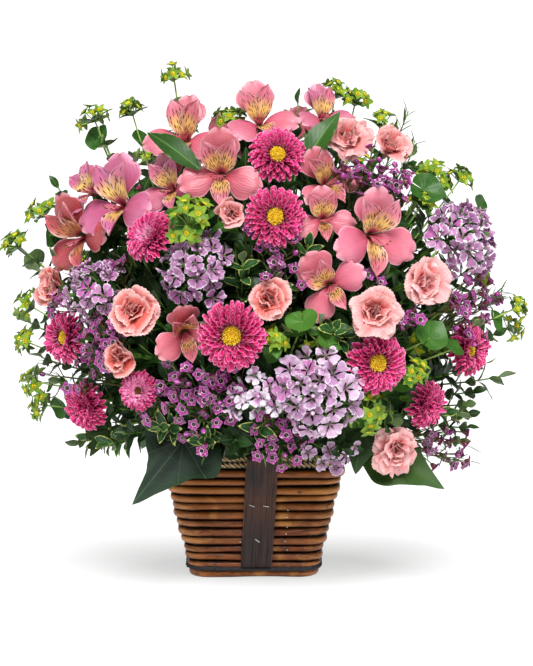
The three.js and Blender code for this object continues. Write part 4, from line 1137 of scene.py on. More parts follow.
def add_loose_floret(piece, x, z, lift, size, petal_finish, rng):
    spot = dome_point(x, z, lift)
    out = unit(spot - bundle_top(spot) - [0, 0, 12])
    place = frame_at(spot, unit(out + rng.normal(0, 0.25, 3)), rng.uniform(0, 72))
    add_floret(piece, place, size, petal_finish, rng)
    foot = spot - place[:3, 2] * 0.88 * size
    stalk = bow(bundle_top(spot), foot, unit(out + [0, 0, 0.5]), place[:3, 2], 8)
    tube(piece, stalk, 0.8, "green_stem", 0.4, 5)


def add_head_leaves(piece, matrix, radius, rng):
    """Narrow leaves that stand out between the florets from under the head."""
    along, across = grid(8, 5)
    for i in range(14):
        place = radial_frame(matrix, 360 * i / 14 + rng.normal(0, 8), 0.08 * radius, -0.32 * radius)
        width = 0.06 * radius * pointed(along, 0.1, 0.8, 0.7)
        rise = np.linspace(46, 10, 8) * rng.uniform(0.4, 1.3)
        sheet(piece, place, "filler_leaf", bent(rng.uniform(0.75, 0.98) * radius, rise), width, rng.random(),
              lift=0.3 * width[:, None] * np.abs(across))


# Six petals: direction, rise at root and tip, droop of the end, length, half width, outer or inner.
TEPALS = [
    (90, 80, 24, 10, 1.46, 0.52, True),
    (203, 80, 12, 32, 1.4, 0.45, True),
    (337, 80, 12, 32, 1.4, 0.45, True),
    (63, 84, 38, 4, 1.36, 0.28, False),
    (117, 84, 38, 4, 1.36, 0.28, False),
    (270, 82, 28, 20, 1.2, 0.25, False),
]


def tepal_width(along, outer):
    """Spoon-shaped for an outer petal, and pointed for an inner one."""
    if outer:
        end = np.sqrt(np.clip(1 - (np.maximum(along - 0.56, 0) / 0.44) ** 2, 0.34, 1))
        return (0.16 + 0.88 * smooth(along, 0.16, 0.64)) * end
    end = 1 - (np.maximum(along - 0.6, 0) / 0.41) ** 2.2
    return (0.22 + 0.78 * smooth(along, 0.1, 0.56)) * np.clip(end, 0.04, 1)


def add_alstroemeria_bloom(piece, row, draw, rng):
    radius, matrix = bloom_place(*row)
    along, across = grid(18, 15)
    for direction, root, tip, droop, length, width, outer in TEPALS:
        turn = smooth(along[:, 0], 0.05, 0.5)
        rise = root + (tip + rng.normal(0, 6) - root) * turn - droop * smooth(along[:, 0], 0.62, 1)
        half = width * radius * rng.normal(1, 0.04) * tepal_width(along[:, 0], outer)
        fold = -0.1 if outer else 0.3
        lift = radius * (fold * across**2 * smooth(along, 0.2, 0.7) * half[:, None] / radius * 2)
        lift += 0.025 * radius * np.sin(math.pi * (1.5 * across + rng.uniform(0, 2))) * smooth(along, 0.4, 1)
        crease = np.exp(-((across / 0.16) ** 2))
        lift = lift - 0.02 * radius * crease * (1 - 0.5 * along)
        round_off = (-0.17 if outer else -0.05) * across**2 * smooth(along, 0.76 if outer else 0.6, 1)
        notch = -0.07 * np.exp(-((across / 0.2) ** 2)) * smooth(along, 0.86, 1) if outer else 0.0
        place = radial_frame(matrix, direction + rng.normal(0, 3), 0.05 * radius, -0.56 * radius)
        finish_name = "alstroemeria_outer_petal" if outer else "alstroemeria_inner_petal"
        tone = np.clip(draw + rng.normal(0, 0.06), 0, 1)
        sheet(piece, place, finish_name, bent(length * radius, rise), half, tone,
              lift=lift, slide=radius * (round_off + notch), thickness=0.6)
    seed_cup = [(1.8, -0.66 * radius), (2.8, -0.6 * radius), (2.6, -0.5 * radius), (1.6, -0.42 * radius)]
    turned(piece, matrix, "calyx_leaf", seed_cup, 0.5, 10)
    for i in range(6):
        turn = math.radians(215 + 22 * i)
        tip = np.array([0.24 * math.cos(turn), 0.26 * math.sin(turn) - 0.02, 0.2 + 0.03 * (i % 3)]) * radius
        bend = on_axis(matrix, -0.5 * radius)
        end = carried(tip, matrix)
        way = unit(end - bend)
        stamen = bow(bend, end, matrix[:3, 2], way, 7)
        tube(piece, stamen, np.linspace(0.55, 0.3, 7), "alstroemeria_stamen", draw, 5)
        bead(piece, end, 0.8, "alstroemeria_anther", rng.random(), way, 1.9)


def cluster_fork(rows):
    """Where a cluster's blooms end below, the point that their stalks meet in, and the way inwards."""
    places = [bloom_place(*row) for row in rows]
    feet = [on_axis(matrix, -0.62 * radius) for radius, matrix in places]
    middle = sum(feet) / len(feet)
    inward = unit(bundle_top(middle) - middle)
    fork = middle + inward * (30 if len(feet) > 1 else 10)
    return feet, [matrix[:3, 2] for _, matrix in places], fork, inward


# From salmon red over pink to orchid, for each bloom of a cluster: partly each bloom's own colour, partly
# painted shade that darkens blooms towards salmon red, as the lowest on the left.
ALSTROEMERIA_TONES_AND_SHADE = {
    "alstroemeria_left": (0.8, 0.75, 0.04),
    "alstroemeria_top_left": (0.34, 0.62),
    "alstroemeria_top": (0.3, 0.45),
    "alstroemeria_top_right": (0.6, 0.32, 0.34),
    "alstroemeria_right": (0.42,),
    "alstroemeria_centre": (0.36,),
    "alstroemeria_low_left": (0.2,),
    "alstroemeria_back": (0.42, 0.3, 0.35),
}


def add_alstroemeria(name, rows, seed):
    rng = np.random.default_rng(seed)
    piece = Piece(name + "_cluster")
    for row, tone in zip(rows, ALSTROEMERIA_TONES_AND_SHADE[name]):
        add_alstroemeria_bloom(piece, row, tone, rng)
    feet, ways, fork, inward = cluster_fork(rows)
    for foot, way in zip(feet, ways):
        stalk = bow(fork, foot, -inward, way, 8)
        tube(piece, stalk, np.linspace(1.3, 1.7, 8), "green_stem", 0.3)
        for i in range(7):
            leaf_way = side_way(way, 51 * i + rng.normal(0, 12), rng.uniform(0.6, 1.0), 1)
            length, width = rng.uniform(22, 36), rng.uniform(7, 11)
            add_leaf(piece, stalk[1 + i % 4], leaf_way, way, length, width, "lance_leaf", rng, droop=30)
    tube(piece, [fork + inward * 7, fork - inward * 0.5], 1.6, "green_stem", 0.3)
    piece.build(name, "alstroemeria")


def add_waxflower_bloom(piece, matrix, radius, rng):
    along, across = grid(6, 7)
    width = 0.4 * radius * np.array([0.55, 0.85, 1.0, 1.0, 0.88, 0.5])
    draw = rng.random()
    for i in range(5):
        place = radial_frame(matrix, 72 * i + rng.normal(0, 4), 0.34 * radius, 0.02 * radius)
        rise = np.linspace(2, 34, 6) + rng.normal(0, 12)
        sheet(piece, place, "waxflower_petal", bent(0.64 * radius, rise), width, draw,
              lift=0.4 * cupped(width, across), slide=-0.13 * radius * across**2 * along, thickness=0.4)
    cup = [(0.26, -0.5), (0.4, -0.1), (0.42, 0.1), (0.35, 0.12), (0.28, -0.06), (0.1, -0.1)]
    cup = [(0.5, -0.66 * radius)] + [(share * radius, height * radius) for share, height in cup]
    turned(piece, matrix, "waxflower_cup", cup, draw, 10)
    stalk = [on_axis(matrix, -0.2 * radius), on_axis(matrix, 0.22 * radius)]
    tube(piece, stalk, 0.25, "waxflower_twig", sides=4)


# Loose twigs of waxflower between the blooms: x, z, lift of their middle, and their flowers.
WAX_TWIGS = [
    (-41, 162, 4, 7), (-29, 185, 4, 5), (-57, 168, 2, 6), (-13, 181, 2, 5), (20, 283, 4, 6),
    (13, 271, 4, 5), (20, 262, 2, 4), (-155, 232, 10, 5), (-137, 170, 6, 5), (203, 223, 8, 6),
    (180, 237, 6, 6), (160, 234, 8, 6), (77, 336, 6, 7), (93, 328, 8, 7), (111, 322, 6, 6),
    (-121, 193, 4, 6), (120, 228, 8, 5), (142, 118, 8, 4), (168, 93, 34, 5), (-81, 155, 2, 5),
    (-64, 185, 2, 5), (-46, 128, 6, 5), (103, 253, 10, 5), (-149, 242, 4, 4), (-177, 163, 8, 4),
    (-114, 259, 2, 5), (-8, 300, 0, 4), (120, 215, 2, 4),
]


def add_wax_head(piece, spot, side, rng):
    if rng.random() < 0.2:
        bead(piece, spot - side * 3, 2.4, "waxflower_petal", rng.random(), side, 1.2)
    else:
        place = frame_at(spot, side, rng.uniform(0, 72))
        add_waxflower_bloom(piece, place, 6.0 * rng.uniform(0.85, 1.1), rng)


def add_wax_needles(piece, start, end, way, longest, rng):
    for _ in range(3):
        root = start + (end - start) * rng.random()
        add_needle(piece, root, unit(way + rng.normal(0, 0.5, 3)), rng.uniform(9, longest), rng)


def add_wax_twig(piece, rise, x, z, lift, flowers, rng):
    middle = dome_point(x, z, lift)
    out = unit(middle - [DOME_CENTRE[0], 0, 130])
    fork = middle - out * 20
    tube(piece, bow(rise, fork, np.array([0, 0, 1.0]), out, 10), np.linspace(1.2, 0.7, 10), "waxflower_twig")
    for _ in range(flowers):
        spot = middle + frame_at(middle, out)[:3, :3] @ (rng.normal(0, 1, 3) * [8, 8, 3])
        side = unit(out + rng.normal(0, 0.35, 3))
        branch = bow(fork, spot - side * 4, unit(spot - fork), side, 6)
        tube(piece, branch, 0.5, "waxflower_twig", rng.random(), 5)
        add_wax_head(piece, spot, side, rng)
        add_wax_needles(piece, fork, spot, out, 18, rng)


def nearest_spray(x, z, lift):
    """The spray that a loose twig belongs to."""
    spot = dome_point(x, z, lift)
    return min(WAXFLOWERS, key=lambda name: np.linalg.norm(dome_point(*WAXFLOWERS[name][:3]) - spot))


def add_waxflower(name, row, seed):
    radius, matrix = bloom_place(*row)
    rng = np.random.default_rng(seed)
    piece = Piece(name + "_spray")
    position = matrix[:3, 3]
    rise = unit(np.array([position[0], position[1], 0])) * SPRAY_OFFSET + [0, 0, BUNDLE_TOP]
    fork = position + (rise - position) * 0.3
    tube(piece, [rise - [0, 0, 58], rise - [0, 0, 20], rise], 1.5, "waxflower_twig")
    tube(piece, bow(rise, fork, np.array([0, 0, 1.0]), unit(position - rise), 8), 1.4, "waxflower_twig")
    flowers = 13 if name == "waxflower_low_right" else 22
    for i in range(flowers):
        turn = math.radians(i * GOLDEN_ANGLE)
        reach = 1.1 * radius * math.sqrt((i + 0.6) / flowers)
        spot = carried(spun(turn, reach, 6 - 9 * rng.random()), matrix)
        way = unit(spot - fork)
        knee = fork + (spot - fork) * rng.uniform(0.3, 0.5) + rng.normal(0, 2.5, 3)
        side = unit(way + rng.normal(0, 0.3, 3))
        twig = bow(knee, spot - side * 4, unit(spot - knee), side, 5)
        tube(piece, [fork, knee], 0.7, "waxflower_twig", rng.random(), 5)
        tube(piece, twig, 0.5, "waxflower_twig", rng.random(), 5)
        add_wax_head(piece, spot, side, rng)
        add_wax_needles(piece, twig[1], twig[3], way, 17, rng)
    for twig_row in WAX_TWIGS:
        if nearest_spray(*twig_row[:3]) == name:
            add_wax_twig(piece, rise, *twig_row, rng)
    piece.build(name, "waxflower")


# ---------------------------------------------------------------- greenery
def add_needle(piece, root, way, length, rng, width=0.75):
    _, across = grid(4, 3)
    half = width * np.array([0.5, 1.0, 0.8, 0.12])
    up = np.array([0, 0, 1.0]) if abs(way[2]) < 0.9 else np.array([1.0, 0, 0])
    rise = np.linspace(8, -16, 4) + rng.normal(0, 6)
    sheet(piece, leaf_frame(root, way, up), "needle_leaf", bent(length, rise), half, rng.random(),
          lift=0.35 * cupped(half, across), thickness=0.5)


def add_leaf(piece, root, way, up, length, width, finish_name, rng, droop=24, coarse=False):
    """A pointed leaf, folded along its midrib, that arches over."""
    along, across = grid(7, 5) if coarse else grid(9, 7)
    half = width / 2 * pointed(along, 0.06, 0.85, 0.86)
    rise = np.linspace(droop * 0.5, -droop, len(half)) + rng.normal(0, 4)
    lift = 0.25 * half[:, None] * np.abs(across) ** 1.4
    lift = lift + 0.024 * length * np.sin(math.pi * (3 * along + rng.uniform(0, 2))) * np.abs(across)
    if abs(np.dot(unit(up), way)) > 0.95:
        up = up + np.array([0.3, 0.5, 0.1])
    sheet(piece, leaf_frame(root, way, unit(up)), finish_name, bent(length, rise), half, rng.random(),
          lift=lift, thickness=0.45)


def stem_to(piece, tip, radii, count, draw, sides=6, finish_name="green_stem", rise=0.6):
    """A thin stem that climbs from the foam to a tip: its path, and the way from foam to tip."""
    root = bundle_top(tip)
    out = unit(tip - root)
    path = bow(root, tip, unit(out + [0, 0, rise]), out, count)
    tube(piece, path, np.linspace(*radii, count), finish_name, draw, sides)
    return path, out


def through(value, at, heights):
    """A smooth curve through the given heights."""
    at, heights = np.array(at, float), np.array(heights, float)
    slopes = np.gradient(heights, at)
    i = np.clip(np.searchsorted(at, value, side="right") - 1, 0, len(at) - 2)
    width = at[i + 1] - at[i]
    t = (value - at[i]) / width
    low = (2 * t**3 - 3 * t**2 + 1) * heights[i] + (t**3 - 2 * t**2 + t) * width * slopes[i]
    return low + (3 * t**2 - 2 * t**3) * heights[i + 1] + (t**3 - t**2) * width * slopes[i + 1]


def add_fan_leaf(piece, matrix, size, outline, finish_name, rng, sag, wave, draw=None):
    """A leaf with its veins fanned out from the stalk, by an outline of angles and reaches."""
    rows, columns = 10, 101 if len(outline) > 12 else 41
    along = np.linspace(0.02, 1, rows)[:, None]
    across = np.linspace(-1, 1, columns)[None, :]
    turns, reaches = zip(*outline)
    reach = through((np.abs(across) if turns[0] == 0 else across) * 180, turns, reaches) * along
    angle = across * math.pi * 0.985
    x, y = size * reach * np.sin(angle), size * reach * np.cos(angle)
    z = -sag * size * reach**2 + wave * size * np.sin(4.2 * angle + rng.uniform(0, 6)) * along
    z = z + size * 0.16 * np.abs(np.sin(angle)) ** 1.5 * reach
    z = z - size * 0.075 * np.cos(angle * 5.2) * along * (1 - along)
    body = 0.5 * (1 - np.abs(across) ** 8) * np.clip((1 - along) * 8, 0, 1) * np.clip(along * 8, 0.2, 1)
    tone = rng.random() if draw is None else draw
    marks = np.stack(np.broadcast_arrays(across, along, tone), -1).reshape(-1, 3)
    faces = grid_faces(rows, columns)
    for side, quads in ((1, faces), (-1, faces[:, ::-1])):
        points = np.stack(np.broadcast_arrays(x, y, z + side * body / 2), -1).reshape(-1, 3)
        piece.add(carried(points, matrix), [quads[:, ::-1]], marks, finish_name, under=float(side < 0))


# Outlines by degrees from the leaf's tip, on both sides alike where they start at 0.
OUTLINES = {
    "lobed": [
        (0, 1), (4, 0.92), (12, 0.76), (26, 0.62), (42, 0.6), (56, 0.68), (64, 0.76), (70, 0.7), (84, 0.54),
        (100, 0.5), (116, 0.54), (124, 0.5), (146, 0.34), (180, 0.14),
    ],
    "swept": [
        (-180, 0.2), (-150, 0.34), (-114, 0.48), (-95, 0.58), (-84, 0.63), (-78, 0.645), (-72, 0.6),
        (-51, 0.5), (-37, 0.54), (-19, 0.66), (-10, 0.78), (-3, 0.94), (0, 1), (2, 0.9), (8, 0.66),
        (19, 0.52), (46, 0.455), (74, 0.48), (105, 0.46), (150, 0.32), (180, 0.2),
    ],
    "heart": [
        (-180, 0.12), (-150, 0.32), (-90, 0.38), (-47, 0.42), (-39, 0.45), (-22, 0.557), (-11, 0.69),
        (-4, 0.86), (0, 1), (3, 0.93), (9, 0.78), (17, 0.7), (38, 0.6), (62, 0.6), (77, 0.57), (90, 0.5),
        (140, 0.38), (180, 0.12),
    ],
    "round": [
        (0, 1.08), (6, 1.02), (24, 0.92), (60, 0.84), (100, 0.8), (140, 0.78), (165, 0.72), (180, 0.66),
    ],
}


def add_umbel_star(piece, seat, size, rng):
    """Five green bracts round seven tiny yellow flowers."""
    along, across = grid(6, 5)
    bract = size**0.6
    for k in range(5):
        half = 2.1 * bract * rng.normal(1, 0.12) * pointed(along, 0.12, 0.8, 0.75)
        spine = bent(rng.uniform(5.6, 8.2) * bract, np.linspace(36, rng.uniform(-10, 14), 6))
        sheet(piece, radial_frame(seat, 72 * k, 0.3, 0), "bract_leaf", spine, half, rng.random(),
              lift=0.3 * cupped(half, across))
    for k in range(7):
        spot = spun(math.radians(60 * k), 1.5, 1.6) if k < 6 else np.array([0.3, 0, 1.72])
        bead(piece, carried(spot, seat), 0.8, "umbel_flower", rng.random(), seat[:3, 2], 1.1)


def add_umbel(piece, tip, out, rng, scale):
    """Small green stars with yellow flowers, on short rays from one point."""
    size = scale * rng.uniform(0.85, 1.15)
    hub = tip - out * 10 * scale
    place = frame_at(hub, out, rng.uniform(0, 360))
    for i in range(8 if scale == 1 else 13):
        lean = 0 if i == 0 else rng.uniform(0.4, 1.5)
        turn = math.radians((51.4 if i < 8 else 72) * i + rng.normal(0, 12))
        way = place[:3, :3] @ spun(turn, math.sin(lean), math.cos(lean))
        star = hub + way * rng.uniform(8, 13) * size
        tube(piece, [hub, (hub + star) / 2, star], 0.45, "pale_stem", sides=5)
        seat = frame_at(star, unit(way + rng.normal(0, 0.2, 3)), rng.uniform(0, 72))
        add_umbel_star(piece, seat, size, rng)
    for i in range(4):
        way = place[:3, :3] @ spun(math.radians(90 * i + rng.uniform(0, 60)), 1, 0.3)
        add_leaf(piece, hub, unit(way), out, rng.uniform(12, 18) * size, 10 * size, "round_leaf", rng)
    return hub


def add_umbel_stem(piece, hub, rng):
    """The thin stem of an umbel, which grows through two or three round leaves."""
    path, _ = stem_to(piece, hub, (1.3, 0.65), 14, 0.2, finish_name="pale_stem", rise=0.7)
    for at in (10, 11, 12) if rng.random() < 0.6 else (10, 12):
        way = unit(path[at + 1] - path[at])
        add_round_leaf(piece, path[at], unit(way + rng.normal(0, 0.4, 3)), rng.uniform(9, 13), rng)


def add_round_leaf(piece, point, up, size, rng):
    side = unit(np.cross(up, rng.normal(0, 1, 3)))
    place = leaf_frame(point, side, up)
    add_fan_leaf(piece, place, size, OUTLINES["round"], "round_leaf", rng, sag=-0.26, wave=0.045)


# Large round leaves that show between the blooms: x, z, lift, size, degrees right and degrees up.
ROUND_LEAVES = [
    (136, 320, 2, 17, 20, 36), (38, 226, 10, 16, -20, 56), (138, 208, 12, 17, 30, 40),
    (-127, 358, 0, 14, -40, 30), (59, 207, 6, 12, 40, 52), (157, 196, 8, 12, 60, 50),
    (-60, 300, 0, 13, -20, 20), (120, 176, 8, 11, 20, 40), (88, 206, 6, 12, 50, 40),
    (-164, 276, 4, 12, -60, 10), (186, 300, 0, 12, 60, 20),
]


def add_sprig(piece, tip, finish_name, length, width, pairs, rng):
    """A twig with small leaves in pairs and one at its tip."""
    path, out = stem_to(piece, tip, (1.5, 0.6), 20, 0.3)
    for i in range(pairs):
        at = len(path) - 2 - i
        way = unit(path[at + 1] - path[at])
        for side in (0, 180):
            leaf_way = side_way(way, 90 * i + side + rng.normal(0, 14), 0.9, 0.65)
            add_leaf(piece, path[at], leaf_way, way, length * rng.uniform(0.8, 1.15),
                     width * rng.uniform(0.85, 1.1), finish_name, rng)
    up = unit(out + rng.normal(0, 1, 3))
    add_leaf(piece, tip - out * 2, out, up, length * 0.8, width * 0.8, finish_name, rng)


def add_bloom_stem(piece, base, way, foot_radius, rng):
    """A stem from the foam to the foot of a bloom, with lance leaves on its upper part."""
    root = bundle_top(base) + np.append(rng.normal(0, 3.5, 2), 0)
    out = unit(base - root)
    path = bow(root, base, unit(out + [0, 0, 0.6]), way, 14, pull=0.3)
    tube(piece, path, np.linspace(1.9, foot_radius, 14), "green_stem", rng.random() * 0.6, 8)
    tube(piece, [root - [0, 0, 56], root - [0, 0, 20], root], 1.9, "green_stem", 0.2)
    for at in (6, 8, 10, 11):
        step = unit(path[at + 1] - path[at])
        leaf_way = side_way(step, rng.uniform(0, 360), 0.8, 1)
        length, width = rng.uniform(26, 40), rng.uniform(8, 12)
        add_leaf(piece, path[at], leaf_way, step, length, width, "lance_leaf", rng, droop=34)


def bloom_feet():
    """Where each bloom's stem ends, the way it points there, and its radius."""
    for rows, share, radius in ((ASTERS, 0.42, 2.4), (CARNATIONS, 0.8, 1.8), (DIANTHUS, 0.62, 1.8)):
        for row in rows.values():
            size, matrix = bloom_place(*row)
            yield on_axis(matrix, -share * size - GAP), matrix[:3, 2], radius
    for rows in ALSTROEMERIAS.values():
        _, _, fork, inward = cluster_fork(rows)
        yield fork + inward * 7.5, -inward, 1.6


def bloom_spheres():
    """Every bloom's middle and radius, which the filling leaves stay out of."""
    rows = [row for table in (ASTERS, CARNATIONS, DIANTHUS, WAXFLOWERS) for row in table.values()]
    rows += [row for cluster in ALSTROEMERIAS.values() for row in cluster]
    return [(dome_point(row[0], row[1], row[2], *row[7:]), row[3]) for row in rows]


# Filling twigs: how many, how deep under the dome, their leaves' length and width.
FILLER_LAYERS = ((190, 8, 26, 12), (120, 28, 30, 15), (90, 48, 36, 18))


def filler_tips(count, depth_under, rng):
    """Points all over the dome, a little under its surface, where no bloom's heart lies."""
    spheres = bloom_spheres()
    heart = np.array([0, 0, 130.0])
    for i in range(count):
        height = 1 - 1.55 * (i + 0.5) / count
        turn = math.radians(i * GOLDEN_ANGLE)
        flat = math.sqrt(1 - height**2)
        across, depth = flat * math.sin(turn), -flat * math.cos(turn)
        scale = DOME_DEPTH if depth < 0 else DOME_BACK_DEPTH
        x = DOME_CENTRE[0] + (DOME_WIDTH - 12) * across
        surface = np.array([x, scale * depth, DOME_CENTRE[1] + (DOME_HEIGHT - 12) * height])
        for deeper in (0, 12, 24, 38):
            tip = surface + unit(heart - surface) * (depth_under + deeper + rng.uniform(0, 6))
            if tip[2] > 104 and all(np.linalg.norm(tip - middle) > 0.75 * size for middle, size in spheres):
                yield tip
                break


def add_filler_twig(piece, tip, length, width, rng):
    """A leafy twig that fills the arrangement between the blooms."""
    path, _ = stem_to(piece, tip, (1.3, 0.5), 16, 0.2, 5)
    for at in range(7, 15):
        way = unit(path[at + 1] - path[at])
        leaf_way = side_way(way, GOLDEN_ANGLE * at + rng.normal(0, 10), 1, 0.55)
        add_leaf(piece, path[at], leaf_way, way, length * rng.uniform(0.75, 1.2),
                 width * rng.uniform(0.8, 1.2), "filler_leaf", rng, droop=28, coarse=True)


def add_needle_sprig(piece, tip, rng):
    """A straight twig set with needles."""
    path, _ = stem_to(piece, tip, (1.2, 0.5), 20, 0.3, 5)
    count = 46
    for i in range(count):
        at = 11 + 8 * i / count
        low = int(at)
        point = path[low] + (path[low + 1] - path[low]) * (at - low)
        way = unit(path[low + 1] - path[low])
        needle_way = side_way(way, GOLDEN_ANGLE * i, 0.75, 1)
        add_needle(piece, point, needle_way, 14 * rng.uniform(0.75, 1.2), rng, 1.0)


# Sprigs of needles: x, z, lift, back.
NEEDLE_SPRIGS = [
    (126, 380, 16), (132, 356, 12), (4, 148, -6), (-16, 150, -2), (20, 150, -8), (206, 232, 6),
    (-88, 152, -4), (150, 330, 2), (-60, 300, -10), (120, 300, 0, True), (-40, 200, 0, True),
]
# Single lance leaves on a stem: x, z, lift, length, width.
LANCE_SPRAYS = [(-168, 282, 4, 34, 11), (-60, 376, -4, 44, 13), (-6, 350, 0, 30, 10)]
# The two widest lance leaves, in front of the upper alstroemerias: start, way, length, width.
BROAD_BLADES = [
    ((-41.6, -108, 339), (-41.4, 20, 34), 58, 19),
    ((38, -98, 340), (27, 16, 40), 56, 20),
]
# Stems with leaves in pairs, at the outline and over the rim: x, z, lift, finish, length, width, pairs.
LEAFY_STEMS = [
    (-178, 250, 12, "lance", 17, 9, 6), (-186, 205, 6, "lance", 16, 9, 6),
    (-176, 176, 8, "filler", 16, 10, 6), (-150, 128, 6, "filler", 18, 10, 6),
    (-128, 110, 10, "edged", 15, 9, 5), (-104, 128, 8, "filler", 17, 10, 6),
    (-162, 318, 4, "lance", 16, 8, 6), (186, 262, 6, "lance", 16, 9, 6), (200, 196, 8, "lance", 16, 9, 6),
    (182, 150, 10, "filler", 16, 9, 6), (156, 142, 8, "edged", 15, 9, 5),
    (168, 176, 6, "filler", 18, 10, 6), (128, 346, 0, "lance", 15, 8, 6), (-40, 128, 6, "edged", 15, 8, 5),
    (30, 128, 8, "filler", 16, 9, 6), (72, 120, 8, "filler", 17, 9, 6), (-14, 130, 8, "filler", 15, 9, 5),
    (100, 260, 0, "lance", 20, 10, 5), (-96, 340, -4, "lance", 18, 9, 6), (20, 258, 2, "edged", 15, 8, 5),
    (64, 222, 8, "edged", 15, 9, 5), (-160, 160, 2, "edged", 15, 8, 5), (178, 212, 6, "edged", 15, 8, 5),
    (110, 140, 4, "lance", 18, 10, 6), (174, 143, 10, "calyx", 13, 9, 5), (179, 130, 12, "lance", 14, 9, 5),
    (178, 118, 14, "lance", 14, 9, 5), (171, 107, 16, "calyx", 14, 9, 5), (205, 160, 6, "lance", 19, 7, 4),
    (-186, 262, 8, "lance", 22, 9, 5), (-138, 112, 8, "edged", 16, 9, 6),
    (-146, 106, 12, "lance", 17, 10, 5),
]


def add_greenery():
    rng = np.random.default_rng(77)
    pieces = {name: Piece(name + "_foliage") for name in SECTORS}

    def piece_at(point):
        return pieces[sector_of(point)]

    for base, way, radius in bloom_feet():
        add_bloom_stem(piece_at(base), base, way, radius, rng)
    for scale, rows in ((1.0, UMBELS), (1.5, LARGE_UMBELS)):
        for row in rows:
            back_step = rng.uniform(-16, 16)
            tip = dome_point(*row) + [0, back_step, -0.14 * back_step]
            out = unit(tip - bundle_top(tip))
            hub = add_umbel(piece_at(tip), tip, out, rng, scale)
            add_umbel_stem(piece_at(tip), hub, rng)
    for row in SPRIGS:
        tip = dome_point(*row)
        add_sprig(piece_at(tip), tip, "edged_leaf", 17, 9, 4, rng)
    for count, depth, length, width in FILLER_LAYERS:
        for tip in filler_tips(count, depth, rng):
            add_filler_twig(piece_at(tip), tip, length, width, rng)
    for row in NEEDLE_SPRIGS:
        tip = dome_point(*row)
        add_needle_sprig(piece_at(tip), tip, rng)
    for x, z, lift, length, width in LANCE_SPRAYS:
        root = dome_point(x, z, lift)
        out = unit(root - bundle_top(root))
        start = root - out * length * 0.8
        tube(piece_at(root), bow(bundle_top(root), start, out, out, 8), 1.2, "green_stem", 0.3)
        facing_up = np.array([0, -1.0, 0.4])
        add_leaf(piece_at(root), start, out, facing_up, length, width, "lance_leaf", rng, droop=20)
    for start, way, length, width in BROAD_BLADES:
        start = np.array(start, float)
        up = np.array([-math.copysign(0.3, way[0]), -1.0, 0.5])
        add_leaf(piece_at(start), start, unit(np.array(way)), up, length, width, "lance_leaf", rng, droop=14)
    for x, z, lift, size, turn, tip in ROUND_LEAVES:
        point = dome_point(x, z, lift)
        stem_to(piece_at(point), point, (1.3, 0.8), 12, 0.2, finish_name="pale_stem")
        add_round_leaf(piece_at(point), point, facing(turn, tip), size, rng)
    for x, z, lift, kind, length, width, pairs in LEAFY_STEMS:
        tip = dome_point(x, z, lift)
        add_sprig(piece_at(tip), tip, kind + "_leaf", length, width, pairs, rng)
    for stalk, tip, outline, tone in LARGE_LEAVES:
        stalk, tip = np.array(stalk, float), np.array(tip, float)
        add_large_leaf(piece_at(stalk), stalk, tip, outline, tone, rng)
    for name, piece in pieces.items():
        piece.build(name, "greenery")


def add_large_leaf(piece, stalk, tip, outline, tone, rng):
    size = np.linalg.norm(tip - stalk)
    along = (tip - stalk) / size
    outward = unit(np.array([0.35 * stalk[0], 1.2 * stalk[1], 40.0]))
    place = leaf_frame(stalk, along, outward)
    add_fan_leaf(piece, place, size, OUTLINES[outline], "large_leaf", rng, 0.06, 0.035, tone)
    root = bundle_top(stalk)
    stem = bow(root, stalk, unit(stalk - root + [0, 0, 30]), unit(along + [0, 0, 0.6]), 10)
    tube(piece, stem, 1.5, "pale_stem", 0.3)


# ---------------------------------------------------------------- the basket
def wall_half(height):
    return BASE_HALF + WALL_LEAN * height


def square_path(half, corner, height, spacing):
    """A closed square path with round corners, in even steps."""
    reach = half - corner
    points = []
    for quarter in range(4):
        middle = np.array([[1, 1], [-1, 1], [-1, -1], [1, -1]][quarter]) * reach
        for degrees in np.linspace(0, 90, 9):
            angle = math.radians(90 * quarter + degrees)
            points.append([middle[0] + corner * math.cos(angle), middle[1] + corner * math.sin(angle)])
    outline = np.array(points + points[:1])
    lengths = np.concatenate([[0], np.cumsum(np.linalg.norm(np.diff(outline, axis=0), axis=1))])
    even = np.linspace(0, lengths[-1], int(lengths[-1] / spacing), endpoint=False)
    x, y = (np.interp(even, lengths, outline[:, i]) for i in (0, 1))
    return np.stack([x, y, np.full(len(even), float(height))], -1), even / lengths[-1]


def outward_of(path):
    """The level direction away from the basket's middle, at each point of a path round it."""
    flat = path * [1, 1, 0]
    return flat / np.linalg.norm(flat, axis=1)[:, None]


def closed_tube(piece, path, radii, finish_name, draw, sides, flat=1.0):
    """A tube whose end meets its start. Its sections stand upright, and flat narrows them."""
    tangents = np.roll(path, -1, 0) - np.roll(path, 1, 0)
    tangents /= np.linalg.norm(tangents, axis=1)[:, None]
    outward = np.cross(tangents, [0, 0, 1.0])
    outward /= np.linalg.norm(outward, axis=1)[:, None]
    upward = np.cross(outward, tangents)
    angles = np.linspace(-math.pi, math.pi, sides, endpoint=False)
    radii = np.broadcast_to(radii, len(path))[:, None, None]
    rings = path[:, None] + radii * (
        flat * np.cos(angles)[:, None] * outward[:, None] + np.sin(angles)[:, None] * upward[:, None]
    )
    count = len(path)
    faces = grid_faces(count + 1, sides, wrap=True) % (count * sides)
    around = np.tile(angles / math.pi, count)
    along = np.repeat(np.arange(count) / count, sides)
    marks = np.stack([around, along, np.full(count * sides, draw)], -1)
    piece.add(rings.reshape(-1, 3), [faces[:, ::-1]], marks, finish_name)


def wobble(share, rng, strength, most=9):
    """A smooth random wander round a loop."""
    return sum(
        rng.normal(0, strength / k) * np.sin(2 * math.pi * (k * share + rng.random()))
        for k in range(1, most)
    )


